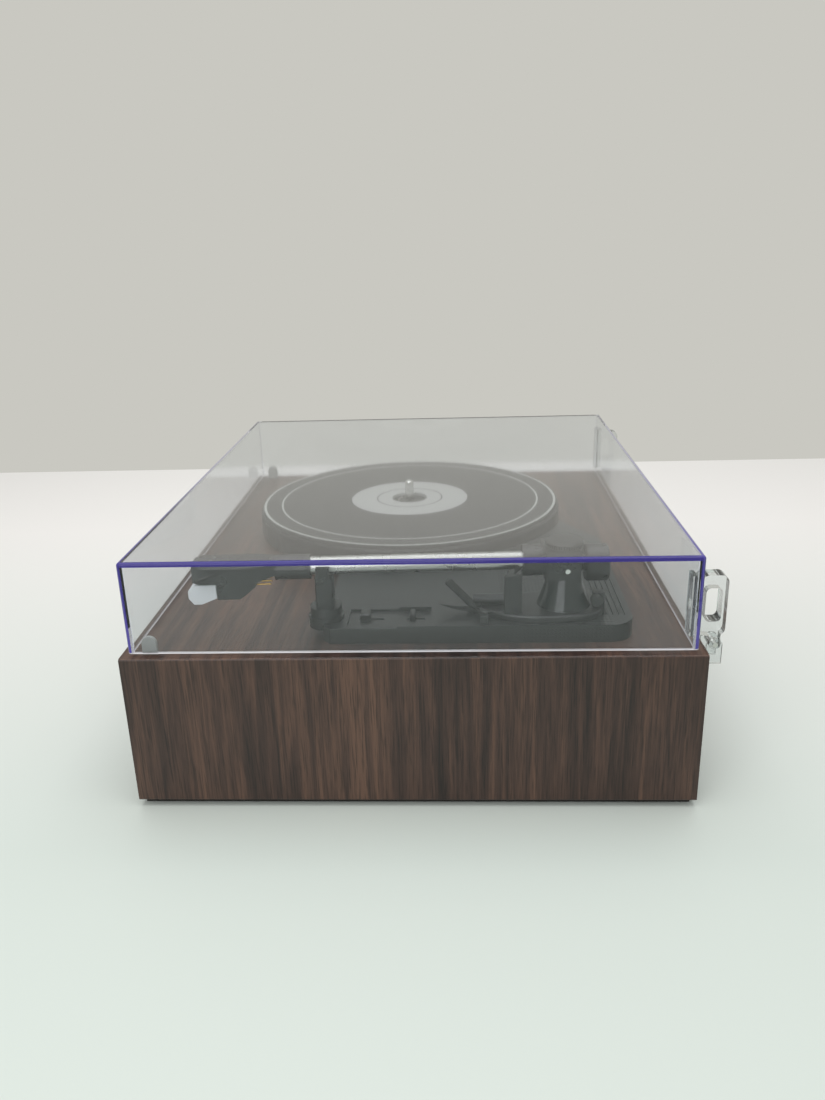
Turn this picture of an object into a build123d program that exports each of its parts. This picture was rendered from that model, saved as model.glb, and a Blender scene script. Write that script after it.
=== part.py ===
from build123d import *
from math import cos, radians, sin
import os

# A belt-drive record player in a walnut box with a clear hinged cover, in millimetres.
# The origin is under the middle of the whole thing, X to its right, Y to its back, Z up.

# Plinth
plinth_width = 412.0
plinth_depth = 350.0
plinth_height = 99.5
board = 12.0
edge_round = 1.5
baffle_recess = 2.0
base_panel = 3.0
base_inset = 3.5
foot_height = 1.5
foot_radius = 13.0
foot_inset = 34.0
base_screw_shift = 1.5
foot_stem_radius = 4.0
foot_stem_rise = 2.0
block_side = 18.0

# Fits
running_fit = 0.06
seat_fit = 0.02
slot_gap = 0.4
air_gap = 0.3

# Reach past the plinth, in front and behind
knob_reach = 10.5
hinge_reach = 10.5

# Cover
cover_side_inset = 4.0
cover_end_inset = 5.0
cover_wall = 3.0
cover_height = 60.0
cover_lift = 1.8
cover_round = 2.5
bumper_width = 9.0
bumper_rise = 12.0
bumper_inset = 10.0

# Hinges
hinge_width = 10.0
hinge_side_inset = 6.5
clip_bottom = 8.0
clip_top = 46.0
clip_round = 4.5
window_bottom = 17.0
window_top = 38.0
window_end = 3.0
inner_leg = 2.5
web_width = 6.0
web_height = 27.0
pin_radius = 1.5
pin_behind = 5.0
pin_rise = 3.0
knuckle_radius = 4.0
hinge_plate = 2.0
hinge_plate_drop = 34.0

# Platter and its drive
platter_x = -46.0
platter_y = -10.5
platter_radius = 124.0
platter_rim_gap = 2.5
platter_top = 19.0
platter_plate = 3.5
platter_wall = 4.0
mat_margin = 2.2
mat_thickness = 3.0
mat_hole = 14.6
hub_radius = 13.5
hub_top = 20.0
hub_bottom = 10.5
belt_ring_gap = 24.0
belt_ring_wall = 3.0
belt_ring_bottom = 4.5
spindle_radius = 3.6
shaft_radius = 3.0
spindle_top = 37.0
spindle_tip = 2.0
shaft_depth = 38.0
bearing_flange = 21.0
bearing_flange_thickness = 3.0
bearing_tube = 8.0
bearing_neck = 6.5
bearing_neck_top = 9.5
bearing_floor = 3.0
ball_radius = 2.5
hub_screw_radius = 1.4
hub_screw_circle = 9.0
hub_screw_rise = 0.6
hub_screw_start = -125
hub_screw_spread = 70
motor_room = 3.0
motor_angle = 225.0
motor_radius = 15.0
motor_height = 28.0
motor_plate_radius = 23.0
motor_plate = 1.5
grommet_height = 2.0
grommet_radius = 3.0
grommet_circle = 19.4
pulley_radius = 5.0
pulley_flange = 6.4
pulley_bottom = 5.0
pulley_top = 13.0
motor_shaft_radius = 1.2
belt_bottom = 7.0
belt_width = 4.0
belt_thickness = 0.8

# Tonearm base plate
plate_inset = 20.5
plate_front = -54.0
plate_back = 136.0
plate_low = 10.2
plate_high = 11.4
plate_step_y = -8.0
plate_wall = 2.5
plate_corner = 15.0
plate_chamfer = 5.0
plate_platter_gap = 2.8
plate_tail_x = -9.0
plate_tail_y = 112.0
plate_tail_back_x = 34.0
rib_height = 0.9
rib_width = 1.6
rib_pitch = 3.6
rib_start = 5.0
rib_count = 5
panel_inset = 26.0
panel_width = 24.0
panel_front = -39.0
panel_back = 12.5
panel_depth = 1.6
speed_slot = (-32.6, -17.3)
stop_slot = (-2.8, 8.5)
slot_width = 2.4
speed_knob = (6.3, 9.0)
speed_rest = -28.4
stop_knob = (3.5, 9.0)
stop_rest = 1.1
switch_knob_height = 5.0
switch_chamfer = 0.8

# Tonearm
pivot_inset = 45.0
pivot_y = 95.0
arm_splay = 2.2
pod_height = 4.5
pod_outline = (
    (4.0, -58.5), (12.0, -47.0), (20.0, -30.0), (21.5, -4.0), (16.0, 17.0),
    (0.0, 25.0), (-18.0, 16.0), (-22.0, -4.0), (-11.0, -38.0),
)
horn_offset = 1.0
horn_width = 6.0
horn_tip = (17.0, 19.0)
horn_under = (29.0, 14.6)
horn_over = (30.0, 17.0)
horn_root = (44.0, 13.6, 17.8)
damper_front = 38.5
damper_back = 57.5
damper_rise = 2.6
damper_radius = 3.6
cone_bottom_radius = 16.6
cone_top_radius = 9.5
post_shaft_radius = 3.0
yoke_half_width = 14.0
yoke_base = 36.0
yoke_front = 13.5
yoke_back = 8.5
yoke_floor = 2.6
yoke_bridge = 2.2
yoke_cheek = 4.4
yoke_height = 15.6
yoke_gap = 0.3
cap_radius = 11.6
cap_height = 3.5
tilt_height = 41.8
tilt_pin_radius = 1.5
tube_height = 43.5
tube_radius = 4.5
tube_end = 158.0
block_bottom = 39.2
block_top = 48.5
block_front = 15.0
block_back = 8.9
sleeve_radius = 8.5
sleeve_front = 26.0
sleeve_root = 1.0
weight_axis_height = 41.0
weight_radius = 10.3
weight_front = 12.4
weight_length = 14.0
stub_radius = 4.0

# Headshell and cartridge, as distances along the arm from its pivot
collar_rear = 156.0
collar_front = 176.0
collar_radius = 6.6
shell_tip = 229.0
shell_rear = 176.0
shell_top = 48.0
shell_bottom = 37.0
shell_width = 18.0
shell_rear_width = 11.0
shell_roof = 3.0
shell_skirt = 1.6
shell_pocket_shift = 2.0
shell_pocket_less = 14.0
collar_drop = 0.6
collar_into_shell = 2.0
finger_drop = 4.0
finger_root = 1.0
finger_root_back = 20.0
finger_root_front = 14.0
finger_tip_back = 8.0
finger_tip_front = 5.0
finger_thickness = 1.2
cartridge_front = 214.0
cartridge_rear = 190.0
cartridge_bottom = 26.0
cartridge_heel = 10.0
signal_pin_length = 9.0
signal_pin_drop = 1.6
signal_pin_pitch_x = 5.0
signal_pin_pitch_z = 2.4
stylus_unit_width = 4.0
cartridge_width = 13.0
stylus_drop = 24.2
guard_front = 232.0
guard_low = 23.2
pin_wire_radius = 0.5
finger_length = 14.0

# Cue lift, lever, rest
lift_shaft_inset = 35.0
lift_shaft_y = 62.0
lift_shaft_radius = 2.0
lift_bar_top = 33.7
lift_bar_height = 2.5
lift_bar_radius = 33.0
lift_bar_width = 4.0
tower_top = 28.0
tower_wall_top = 40.0
tower_inset = 28.0
tower_width = 11.0
tower_front = 57.5
tower_back = 68.0
lever_inset = 26.0
lever_y = 45.0
lever_axis_height = 15.6
lever_length = 32.0
lever_lean = 43.0
lever_rod_radius = 1.1
lever_sleeve_radius = 2.4
lever_hub_radius = 2.6
lever_hub_width = 3.6
lever_axle_radius = 1.0
lever_ear = 1.6
lever_ear_depth = 5.0
lever_ear_height = 5.8
rest_inset = 38.0
rest_y = -53.0
rest_base_radius = 11.0
rest_base_bottom = 6.0
rest_base_top = 19.0
rest_flange = 6.0
rest_step = 1.2
rest_pillar_corner = 2.0
rest_pillar_width = 11.0
rest_pillar_top = 38.4
rest_hook_top = 46.0
skate_y = 113.8
skate_post_front = 112.0
skate_post_depth = 7.0
skate_post_offset = 6.0
skate_post_width = 6.0
skate_height = 21.8
skate_radius = 3.8
skate_pin_radius = 1.0
skate_pin_length = 4.8
skate_hole_depth = 5.0
skate_knob_thickness = 4.0
skate_knob_chamfer = 0.6

# Loudspeakers, front control and rear sockets
speaker_radius = 38.0
speaker_hole = 33.0
speaker_depth = 34.0
basket_taper = 30
mouth_taper = 40
speaker_height = 44.0
grille_side_inset = 19.0
grille_middle_gap = 37.0
grille_height = 66.0
grille_thickness = 4.0
grille_corner = 8.0
knob_radius = 15.0
knob_shaft_radius = 3.0
dial_radius = 21.0
dial_thickness = 1.5
jack_plate_width = 110.0
jack_plate_height = 34.0
jack_plate_thickness = 2.0
jack_plate_z = 42.0
rca_radius = 4.1
rca_barrel = 3.9
rca_length = 9.0
rca_spacing = 14.0
aux_radius = 1.78
dc_radius = 2.8
rocker_width = 10.0
rocker_height = 15.0

# Levels and places that follow
wood_bottom = foot_height + base_panel
deck = wood_bottom + plinth_height
under_deck = deck - board
plinth_y = (knob_reach - hinge_reach) / 2
half_width = plinth_width / 2
front = plinth_y - plinth_depth / 2
back = plinth_y + plinth_depth / 2
spin_y = plinth_y + platter_y
arm_y = plinth_y + pivot_y
mat_radius = platter_radius - mat_margin
motor_distance = platter_radius - platter_wall - motor_plate_radius - motor_room
belt_ring_radius = motor_distance - belt_ring_gap
plate_right = half_width - plate_inset
panel_right = half_width - panel_inset
panel_left = panel_right - panel_width
switch_x = (panel_left + panel_right) / 2
pivot_x = half_width - pivot_inset
lift_shaft_x = half_width - lift_shaft_inset
tower_near = half_width - tower_inset
tower_far = tower_near - tower_width
lever_x = half_width - lever_inset
rest_x = half_width - rest_inset
skate_post_x = pivot_x + skate_post_offset
cartridge_foot = cartridge_rear + cartridge_heel
grille_width = half_width - grille_side_inset - grille_middle_gap
speaker_offset = grille_middle_gap + grille_width / 2
motor_x = platter_x + motor_distance * cos(radians(motor_angle))
motor_y = spin_y + motor_distance * sin(radians(motor_angle))
baffle_y = front + baffle_recess
rest_angle = radians(arm_splay)
arm = Plane(
    origin=(pivot_x, arm_y, deck),
    x_dir=(cos(rest_angle), sin(rest_angle), 0),
    z_dir=(0, 0, 1),
)
along_arm = Plane(origin=(pivot_x, arm_y, deck), x_dir=arm.x_dir, z_dir=-arm.y_dir)
pieces = {}


def save(piece, node):
    """Label a finished piece, and write it as its own file."""
    piece.part.label = node
    export_step(piece.part, f"parts/{node}.step")
    pieces[node] = piece.part


def facing_front(y):
    """A plane across the player at a depth, with its normal to the front."""
    return Plane(origin=(0, y, 0), x_dir=(1, 0, 0), z_dir=(0, -1, 0))


def facing_right(x):
    """A plane along the side at a place, with its normal to the right."""
    return Plane(origin=(x, 0, 0), x_dir=(0, 1, 0), z_dir=(1, 0, 0))


def facing_back(y):
    """A plane across the player at a depth, with its normal to the back."""
    return Plane(origin=(0, y, 0), x_dir=(-1, 0, 0), z_dir=(0, 1, 0))


def side_of_arm(x):
    """A plane along the arm, where local x runs to the tip and local y up."""
    return Plane(origin=arm.from_local_coords(Vector(x, 0, 0)), x_dir=-arm.y_dir, z_dir=arm.x_dir * -1)


os.makedirs("parts", exist_ok=True)

# Deck board, mitred to the side boards
with BuildPart() as deck_board:
    with BuildSketch(facing_front(back)):
        with Locations((0, wood_bottom + plinth_height / 2)):
            RectangleRounded(plinth_width, plinth_height, edge_round)
        with BuildLine():
            Polyline(
                (-half_width, deck), (half_width, deck),
                (half_width - board, under_deck), (board - half_width, under_deck), close=True,
            )
        make_face(mode=Mode.INTERSECT)
    extrude(amount=plinth_depth)
    with BuildSketch(Plane.XY.offset(under_deck)):
        with Locations((platter_x, spin_y)):
            Circle(bearing_tube + slot_gap)
        with Locations((motor_x, motor_y)):
            Circle(motor_radius + slot_gap)
        with Locations((pivot_x, arm_y)):
            Circle(post_shaft_radius * 3)
        with Locations((switch_x, plinth_y + (panel_front + panel_back) / 2)):
            Rectangle(slot_width * 3, panel_back - panel_front)
    extrude(amount=board, mode=Mode.SUBTRACT)
save(deck_board, "deck_board")


def side_board(side, node):
    """One side board, mitred under the deck and rounded along the fold."""
    outer = side * half_width
    inner = side * (half_width - board)
    with BuildPart() as side_piece:
        with BuildSketch(facing_front(back)):
            with Locations((0, wood_bottom + plinth_height / 2)):
                RectangleRounded(plinth_width, plinth_height, edge_round)
            with BuildLine():
                Polyline(
                    (outer, wood_bottom), (outer, deck),
                    (inner, under_deck), (inner, wood_bottom), close=True,
                )
            make_face(mode=Mode.INTERSECT)
        extrude(amount=plinth_depth)
    save(side_piece, node)


side_board(1, "right_side_board")
side_board(-1, "left_side_board")

# Front baffle, with its speaker holes and the control's hole
inner_width = plinth_width - 2 * board
board_height = under_deck - wood_bottom
with BuildPart() as front_baffle:
    with BuildSketch(facing_front(baffle_y + board)):
        with Locations((0, wood_bottom + board_height / 2)):
            Rectangle(inner_width, board_height)
        with Locations(
            (-speaker_offset, wood_bottom + speaker_height), (speaker_offset, wood_bottom + speaker_height)
        ):
            Circle(speaker_hole, mode=Mode.SUBTRACT)
        with Locations((0, wood_bottom + speaker_height)):
            Circle(knob_shaft_radius + slot_gap, mode=Mode.SUBTRACT)
    extrude(amount=board)
save(front_baffle, "front_baffle")

# Back board, with a window behind the sockets
with BuildPart() as back_board:
    with BuildSketch(facing_back(back - board)):
        with Locations((0, wood_bottom + board_height / 2)):
            Rectangle(inner_width, board_height)
        with Locations((0, jack_plate_z)):
            Rectangle(jack_plate_width - board, jack_plate_height - board, mode=Mode.SUBTRACT)
    extrude(amount=board)
save(back_board, "back_board")

# Glue blocks in the four corners, between the base panel and the deck
with BuildPart() as corner_blocks:
    with BuildSketch(Plane.XY.offset(wood_bottom)):
        for side in (-1, 1):
            block_x = side * (half_width - board - block_side / 2)
            for block_y in (baffle_y + board + block_side / 2, back - board - block_side / 2):
                with Locations((block_x, block_y)):
                    Rectangle(block_side, block_side)
    extrude(amount=board_height)
save(corner_blocks, "corner_blocks")

# Base panel, screwed up under the boards
base_width = plinth_width - 2 * base_inset
base_depth = plinth_depth - 2 * base_inset
foot_x = half_width - foot_inset
foot_y = plinth_depth / 2 - foot_inset
base_plane = Plane.XY.offset(foot_height).shift_origin((0, plinth_y, foot_height))
base_screw_x = half_width - board / 2 - base_screw_shift
base_screw_y = plinth_depth / 2 - board / 2 - baffle_recess
screw_shank = 1.5
screw_head = 2.6
screw_head_height = 1.2
with BuildPart() as bottom_cover:
    with BuildSketch(base_plane):
        Rectangle(base_width, base_depth)
        with GridLocations(2 * foot_x, 2 * foot_y, 2, 2):
            Circle(foot_stem_radius + seat_fit, mode=Mode.SUBTRACT)
        with GridLocations(2 * base_screw_x, base_screw_y, 2, 3):
            Circle(screw_head + seat_fit, mode=Mode.SUBTRACT)
    extrude(amount=base_panel)
save(bottom_cover, "bottom_cover")

with BuildPart() as rubber_feet:
    with BuildSketch(Plane.XY.shift_origin((0, plinth_y, 0))):
        with GridLocations(2 * foot_x, 2 * foot_y, 2, 2):
            Circle(foot_radius)
    extrude(amount=foot_height)
    with BuildSketch(base_plane):
        with GridLocations(2 * foot_x, 2 * foot_y, 2, 2):
            Circle(foot_stem_radius)
    extrude(amount=base_panel + foot_stem_rise)
save(rubber_feet, "rubber_feet")

with BuildPart() as base_screws:
    with BuildSketch(base_plane):
        with GridLocations(2 * base_screw_x, base_screw_y, 2, 3):
            Circle(screw_head)
    extrude(amount=base_panel)
save(base_screws, "base_screws")

# Loudspeakers behind the baffle, and the cloth grilles in front of it
speaker_z = wood_bottom + speaker_height


def loudspeaker(side, node):
    """A driver with its basket and magnet, seated on the back of the baffle."""
    seat = baffle_y + board
    with BuildPart() as driver:
        with BuildSketch(facing_back(seat)):
            with Locations((-side * speaker_offset, speaker_z)):
                Circle(speaker_radius)
                Circle(speaker_hole - board / 2, mode=Mode.SUBTRACT)
        extrude(amount=cover_wall)
        with BuildSketch(facing_back(seat + cover_wall)):
            with Locations((-side * speaker_offset, speaker_z)):
                Circle(speaker_hole)
        extrude(amount=speaker_depth / 2, taper=basket_taper)
        with BuildSketch(facing_back(seat + cover_wall + speaker_depth / 2)):
            with Locations((-side * speaker_offset, speaker_z)):
                Circle(speaker_radius / 2 + base_panel)
        extrude(amount=speaker_depth / 2 - cover_wall)
        with BuildSketch(facing_back(seat + cover_wall)):
            with Locations((-side * speaker_offset, speaker_z)):
                Circle(speaker_hole - board / 2)
        extrude(amount=board, taper=mouth_taper, mode=Mode.SUBTRACT)
    save(driver, node)


def grille(side, node):
    """A cloth-covered frame on the front of the baffle, rounded at its rim."""
    with BuildPart() as cloth_frame:
        with BuildSketch(facing_front(baffle_y)):
            with Locations((side * speaker_offset, speaker_z)):
                RectangleRounded(grille_width, grille_height, grille_corner)
        extrude(amount=grille_thickness)
        fillet(cloth_frame.faces().sort_by(Axis.Y)[0].edges(), edge_round)
    save(cloth_frame, node)


for side, word in ((-1, "left"), (1, "right")):
    loudspeaker(side, f"{word}_speaker")
    grille(side, f"{word}_grille")

# Volume control: the pot, its dial ring and its knob
pot_radius = knob_shaft_radius * 3
knob_gap = 0.8
knob_front = front - knob_reach
with BuildPart() as volume_pot:
    with BuildSketch(facing_back(baffle_y + board)):
        with Locations((0, speaker_z)):
            Circle(pot_radius)
            Circle(knob_shaft_radius + running_fit, mode=Mode.SUBTRACT)
    extrude(amount=board)
save(volume_pot, "volume_pot")

with BuildPart() as dial_ring:
    with BuildSketch(facing_front(baffle_y)):
        with Locations((0, speaker_z)):
            Circle(dial_radius)
            Circle(knob_shaft_radius + slot_gap, mode=Mode.SUBTRACT)
    extrude(amount=dial_thickness)
    chamfer(dial_ring.faces().sort_by(Axis.Y)[0].edges().sort_by(SortBy.LENGTH)[-1], dial_thickness / 3)
save(dial_ring, "dial_ring")

knob_back = baffle_y - dial_thickness - knob_gap
with BuildPart() as volume_knob:
    with BuildSketch(facing_front(knob_back)):
        with Locations((0, speaker_z)):
            Circle(knob_radius)
    extrude(amount=knob_back - knob_front)
    fillet(volume_knob.faces().sort_by(Axis.Y)[0].edges(), edge_round)
    with BuildSketch(facing_front(baffle_y + board * 2 - air_gap)):
        with Locations((0, speaker_z)):
            Circle(knob_shaft_radius)
    extrude(until=Until.NEXT)
    with BuildSketch(facing_front(knob_front)):
        with Locations((0, speaker_z + knob_radius * 0.6)):
            SlotOverall(knob_radius / 2, edge_round, rotation=90)
    extrude(amount=-edge_round / 2, mode=Mode.SUBTRACT)
save(volume_knob, "volume_knob")

# Circuit board behind the sockets, on the base panel's standoffs
board_width = 150.0
board_depth = 70.0
board_thickness = 1.6
board_back = back - board - 4.0
board_z = wood_bottom + 8.0
with BuildPart() as main_board:
    with BuildSketch(Plane.XY.offset(board_z)):
        with Locations((0, board_back - board_depth / 2)):
            Rectangle(board_width, board_depth)
    extrude(amount=board_thickness)
    with BuildSketch(Plane.XY.offset(board_z + board_thickness)):
        with Locations((-board_width / 4, board_back - board_depth / 2)):
            Rectangle(board_depth / 3, board_depth / 4)
        with Locations(
            (board_width / 4, board_back - board_depth / 2), (board_width / 3, board_back - board_depth / 3)
        ):
            Circle(board / 2)
    extrude(amount=board)
    with BuildSketch(Plane.XY.offset(wood_bottom)):
        with Locations((0, board_back - board_depth / 2)):
            with GridLocations(board_width - board, board_depth - board, 2, 2):
                Circle(foot_stem_radius)
    extrude(amount=board_z - wood_bottom)
save(main_board, "main_board")

# Rear socket plate, on the outside of the back board
rca_x = (-38.0, -38.0 + rca_spacing)
aux_x = -8.0
dc_x = 12.0
rocker_x = 38.0
plate_out = back + jack_plate_thickness
with BuildPart() as rear_jack_plate:
    with BuildSketch(facing_back(back)):
        with Locations((0, jack_plate_z)):
            RectangleRounded(jack_plate_width, jack_plate_height, base_panel)
        with Locations(*((-x, jack_plate_z) for x in rca_x)):
            Circle(rca_barrel + seat_fit, mode=Mode.SUBTRACT)
        with Locations((-aux_x, jack_plate_z)):
            Circle(rca_radius + seat_fit, mode=Mode.SUBTRACT)
        with Locations((-dc_x, jack_plate_z)):
            Circle(rca_radius + base_panel / 2 + seat_fit, mode=Mode.SUBTRACT)
        with Locations((-rocker_x, jack_plate_z)):
            Rectangle(rocker_width + 2 * slot_gap, rocker_height + 2 * slot_gap, mode=Mode.SUBTRACT)
    extrude(amount=jack_plate_thickness)
save(rear_jack_plate, "rear_jack_plate")

with BuildPart() as rca_jacks:
    with BuildSketch(facing_back(back - board)):
        with Locations(*((-x, jack_plate_z) for x in rca_x)):
            Circle(rca_barrel)
    extrude(amount=board + jack_plate_thickness)
    with BuildSketch(facing_back(plate_out)):
        with Locations(*((-x, jack_plate_z) for x in rca_x)):
            Circle(rca_radius)
    extrude(amount=rca_length - jack_plate_thickness)
    with BuildSketch(facing_back(back + rca_length)):
        with Locations(*((-x, jack_plate_z) for x in rca_x)):
            Circle(rca_radius / 3)
    extrude(amount=-rca_length, mode=Mode.SUBTRACT)
save(rca_jacks, "rca_jacks")


def socket(x, outer, inner, node):
    """A panel socket through the rear plate, with its blind bore to the back."""
    with BuildPart() as body:
        with BuildSketch(facing_back(back - board)):
            with Locations((-x, jack_plate_z)):
                Circle(outer)
        extrude(amount=board + jack_plate_thickness + base_panel / 2)
        with BuildSketch(facing_back(plate_out + base_panel / 2)):
            with Locations((-x, jack_plate_z)):
                Circle(inner)
        extrude(amount=-board, mode=Mode.SUBTRACT)
    save(body, node)


socket(aux_x, rca_radius, aux_radius, "aux_jack")
socket(dc_x, rca_radius + base_panel / 2, dc_radius, "dc_inlet")

# Power rocker, pivoted in the rear plate's window
rocker_throw = 2.6
with BuildPart() as power_rocker:
    with BuildSketch(facing_right(rocker_x - rocker_width / 2)):
        with BuildLine():
            Polyline(
                (back - base_panel, jack_plate_z - rocker_height / 2 + 1.0),
                (plate_out + 0.4, jack_plate_z - rocker_height / 2 + 0.6),
                (plate_out + 1.0, jack_plate_z),
                (plate_out + rocker_throw, jack_plate_z + rocker_height / 2 - 0.9),
                (back - base_panel, jack_plate_z + rocker_height / 2 - 1.0), close=True,
            )
        make_face()
    extrude(amount=rocker_width)
save(power_rocker, "power_rocker")

# Bearing: flanged bush in the deck, thrust ball at its bottom
spin = Plane(origin=(platter_x, spin_y, deck), z_dir=(0, 0, 1))
ball_z = -shaft_depth - air_gap / 6 - ball_radius
floor_top = ball_z - ball_radius
with BuildPart() as bearing_housing:
    with BuildSketch(spin.offset(floor_top - bearing_floor)):
        Circle(bearing_tube)
    extrude(amount=bearing_floor - floor_top)
    with BuildSketch(spin):
        Circle(bearing_flange)
        with PolarLocations(bearing_flange - 2 * screw_head, 3):
            Circle(screw_shank + seat_fit, mode=Mode.SUBTRACT)
    extrude(amount=bearing_flange_thickness)
    with BuildSketch(spin.offset(bearing_flange_thickness)):
        Circle(bearing_neck)
    extrude(amount=bearing_neck_top - bearing_flange_thickness)
    with BuildSketch(spin.offset(floor_top)):
        Circle(shaft_radius + running_fit)
    extrude(amount=bearing_neck_top - floor_top, mode=Mode.SUBTRACT)
save(bearing_housing, "bearing_housing")

with BuildPart() as thrust_ball:
    with Locations((platter_x, spin_y, deck + ball_z)):
        Sphere(ball_radius)
save(thrust_ball, "thrust_ball")

# Motor: can, plate on rubber grommets, rotor with its pulley
drive = Plane(origin=(motor_x, motor_y, deck), z_dir=(0, 0, 1))
plate_seat = grommet_height
with BuildPart() as motor:
    with BuildSketch(drive.offset(plate_seat - motor_height)):
        Circle(motor_radius)
    extrude(amount=motor_height)
    fillet(motor.faces().sort_by(Axis.Z)[0].edges(), edge_round)
    with BuildSketch(drive.offset(plate_seat)):
        Circle(motor_shaft_radius + running_fit)
    extrude(amount=-board, mode=Mode.SUBTRACT)
save(motor, "motor")

with BuildPart() as motor_plate_piece:
    with BuildSketch(drive.offset(plate_seat)):
        Circle(motor_plate_radius)
        Circle(motor_shaft_radius + slot_gap, mode=Mode.SUBTRACT)
        with PolarLocations(grommet_circle, 3, start_angle=motor_angle):
            Circle(screw_shank + seat_fit, mode=Mode.SUBTRACT)
    extrude(amount=motor_plate)
save(motor_plate_piece, "motor_bracket")

with BuildPart() as motor_grommets:
    with BuildSketch(drive):
        with PolarLocations(grommet_circle, 3, start_angle=motor_angle):
            Circle(grommet_radius)
            Circle(screw_shank + seat_fit, mode=Mode.SUBTRACT)
    extrude(amount=grommet_height)
save(motor_grommets, "motor_grommets")

rotor_bottom = -board + 3.0
with BuildPart() as motor_pulley:
    with BuildSketch(drive.offset(rotor_bottom)):
        Circle(motor_shaft_radius)
    extrude(amount=pulley_bottom - rotor_bottom)
    with BuildSketch(drive.offset(pulley_bottom)):
        Circle(pulley_flange)
    extrude(amount=pulley_top - pulley_bottom)
    with BuildSketch(drive.offset(belt_bottom - air_gap)):
        Circle(pulley_flange)
        Circle(pulley_radius, mode=Mode.SUBTRACT)
    extrude(amount=belt_width + 2 * air_gap, mode=Mode.SUBTRACT)
save(motor_pulley, "motor_pulley")

with BuildPart() as drive_belt:
    belt_plane = Plane.XY.offset(deck + belt_bottom)
    with BuildSketch(belt_plane):
        with Locations((platter_x, spin_y)):
            Circle(belt_ring_radius + air_gap + belt_thickness)
        with Locations((motor_x, motor_y)):
            Circle(pulley_radius + air_gap + belt_thickness)
        make_hull()
    extrude(amount=belt_width)
    with BuildSketch(belt_plane):
        with Locations((platter_x, spin_y)):
            Circle(belt_ring_radius + air_gap)
        with Locations((motor_x, motor_y)):
            Circle(pulley_radius + air_gap)
        make_hull()
    extrude(amount=belt_width, mode=Mode.SUBTRACT)
save(drive_belt, "drive_belt")

# Screws that hold the bearing's flange and the motor's plate to the deck
with BuildPart() as deck_screws:
    flange_heads = spin.offset(bearing_flange_thickness)
    plate_heads = drive.offset(plate_seat + motor_plate)
    for heads, circle, depth, start in (
        (flange_heads, bearing_flange - 2 * screw_head, bearing_flange_thickness, 0),
        (plate_heads, grommet_circle, plate_seat + motor_plate, motor_angle),
    ):
        with BuildSketch(heads):
            with PolarLocations(circle, 3, start_angle=start):
                Circle(screw_head)
        extrude(amount=screw_head_height)
        with BuildSketch(heads):
            with PolarLocations(circle, 3, start_angle=start):
                Circle(screw_shank)
        extrude(amount=-depth)
save(deck_screws, "deck_screws")

# Platter, turned with its rim, belt ring and hub
with BuildPart() as platter:
    with BuildSketch(spin.offset(platter_rim_gap)):
        Circle(platter_radius)
        Circle(platter_radius - platter_wall, mode=Mode.SUBTRACT)
    extrude(amount=platter_top - platter_rim_gap)
    with BuildSketch(spin.offset(platter_top - platter_plate)):
        Circle(platter_radius)
    extrude(amount=platter_plate)
    with BuildSketch(spin.offset(belt_ring_bottom)):
        Circle(belt_ring_radius)
        Circle(belt_ring_radius - belt_ring_wall, mode=Mode.SUBTRACT)
    extrude(amount=platter_top - belt_ring_bottom)
    with BuildSketch(spin.offset(hub_bottom)):
        Circle(hub_radius)
    extrude(amount=hub_top - hub_bottom)
    with BuildSketch(spin.offset(hub_bottom)):
        Circle(shaft_radius + seat_fit)
    extrude(amount=hub_top - hub_bottom, mode=Mode.SUBTRACT)
    with BuildSketch(spin.offset(hub_top)):
        with PolarLocations(hub_screw_circle, 2, start_angle=hub_screw_start, angular_range=hub_screw_spread):
            Circle(hub_screw_radius + seat_fit)
    extrude(amount=-platter_plate, mode=Mode.SUBTRACT)
    top_rim = platter.edges().filter_by(GeomType.CIRCLE).filter_by(
        lambda e: abs(e.radius - platter_radius) < seat_fit
    )
    chamfer(top_rim.sort_by(Axis.Z)[-1], 1.2)
save(platter, "platter")

with BuildPart() as platter_mat:
    with BuildSketch(spin.offset(platter_top)):
        Circle(mat_radius)
        Circle(mat_hole, mode=Mode.SUBTRACT)
    extrude(amount=mat_thickness)
save(platter_mat, "platter_mat")

with BuildPart() as spindle:
    with BuildSketch(spin.offset(-shaft_depth)):
        Circle(shaft_radius)
    extrude(amount=hub_top + shaft_depth)
    with BuildSketch(spin.offset(hub_top)):
        Circle(spindle_radius)
    extrude(amount=spindle_top - hub_top)
    fillet(spindle.faces().sort_by(Axis.Z)[-1].edges(), spindle_tip)
save(spindle, "spindle")

with BuildPart() as hub_screws:
    with BuildSketch(spin.offset(hub_top - platter_plate)):
        with PolarLocations(hub_screw_circle, 2, start_angle=hub_screw_start, angular_range=hub_screw_spread):
            Circle(hub_screw_radius)
    extrude(amount=platter_plate + hub_screw_rise)
save(hub_screws, "hub_screws")

# Tonearm base plate, a hollow moulding that follows the platter
clear_radius = platter_radius + plate_platter_gap


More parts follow.
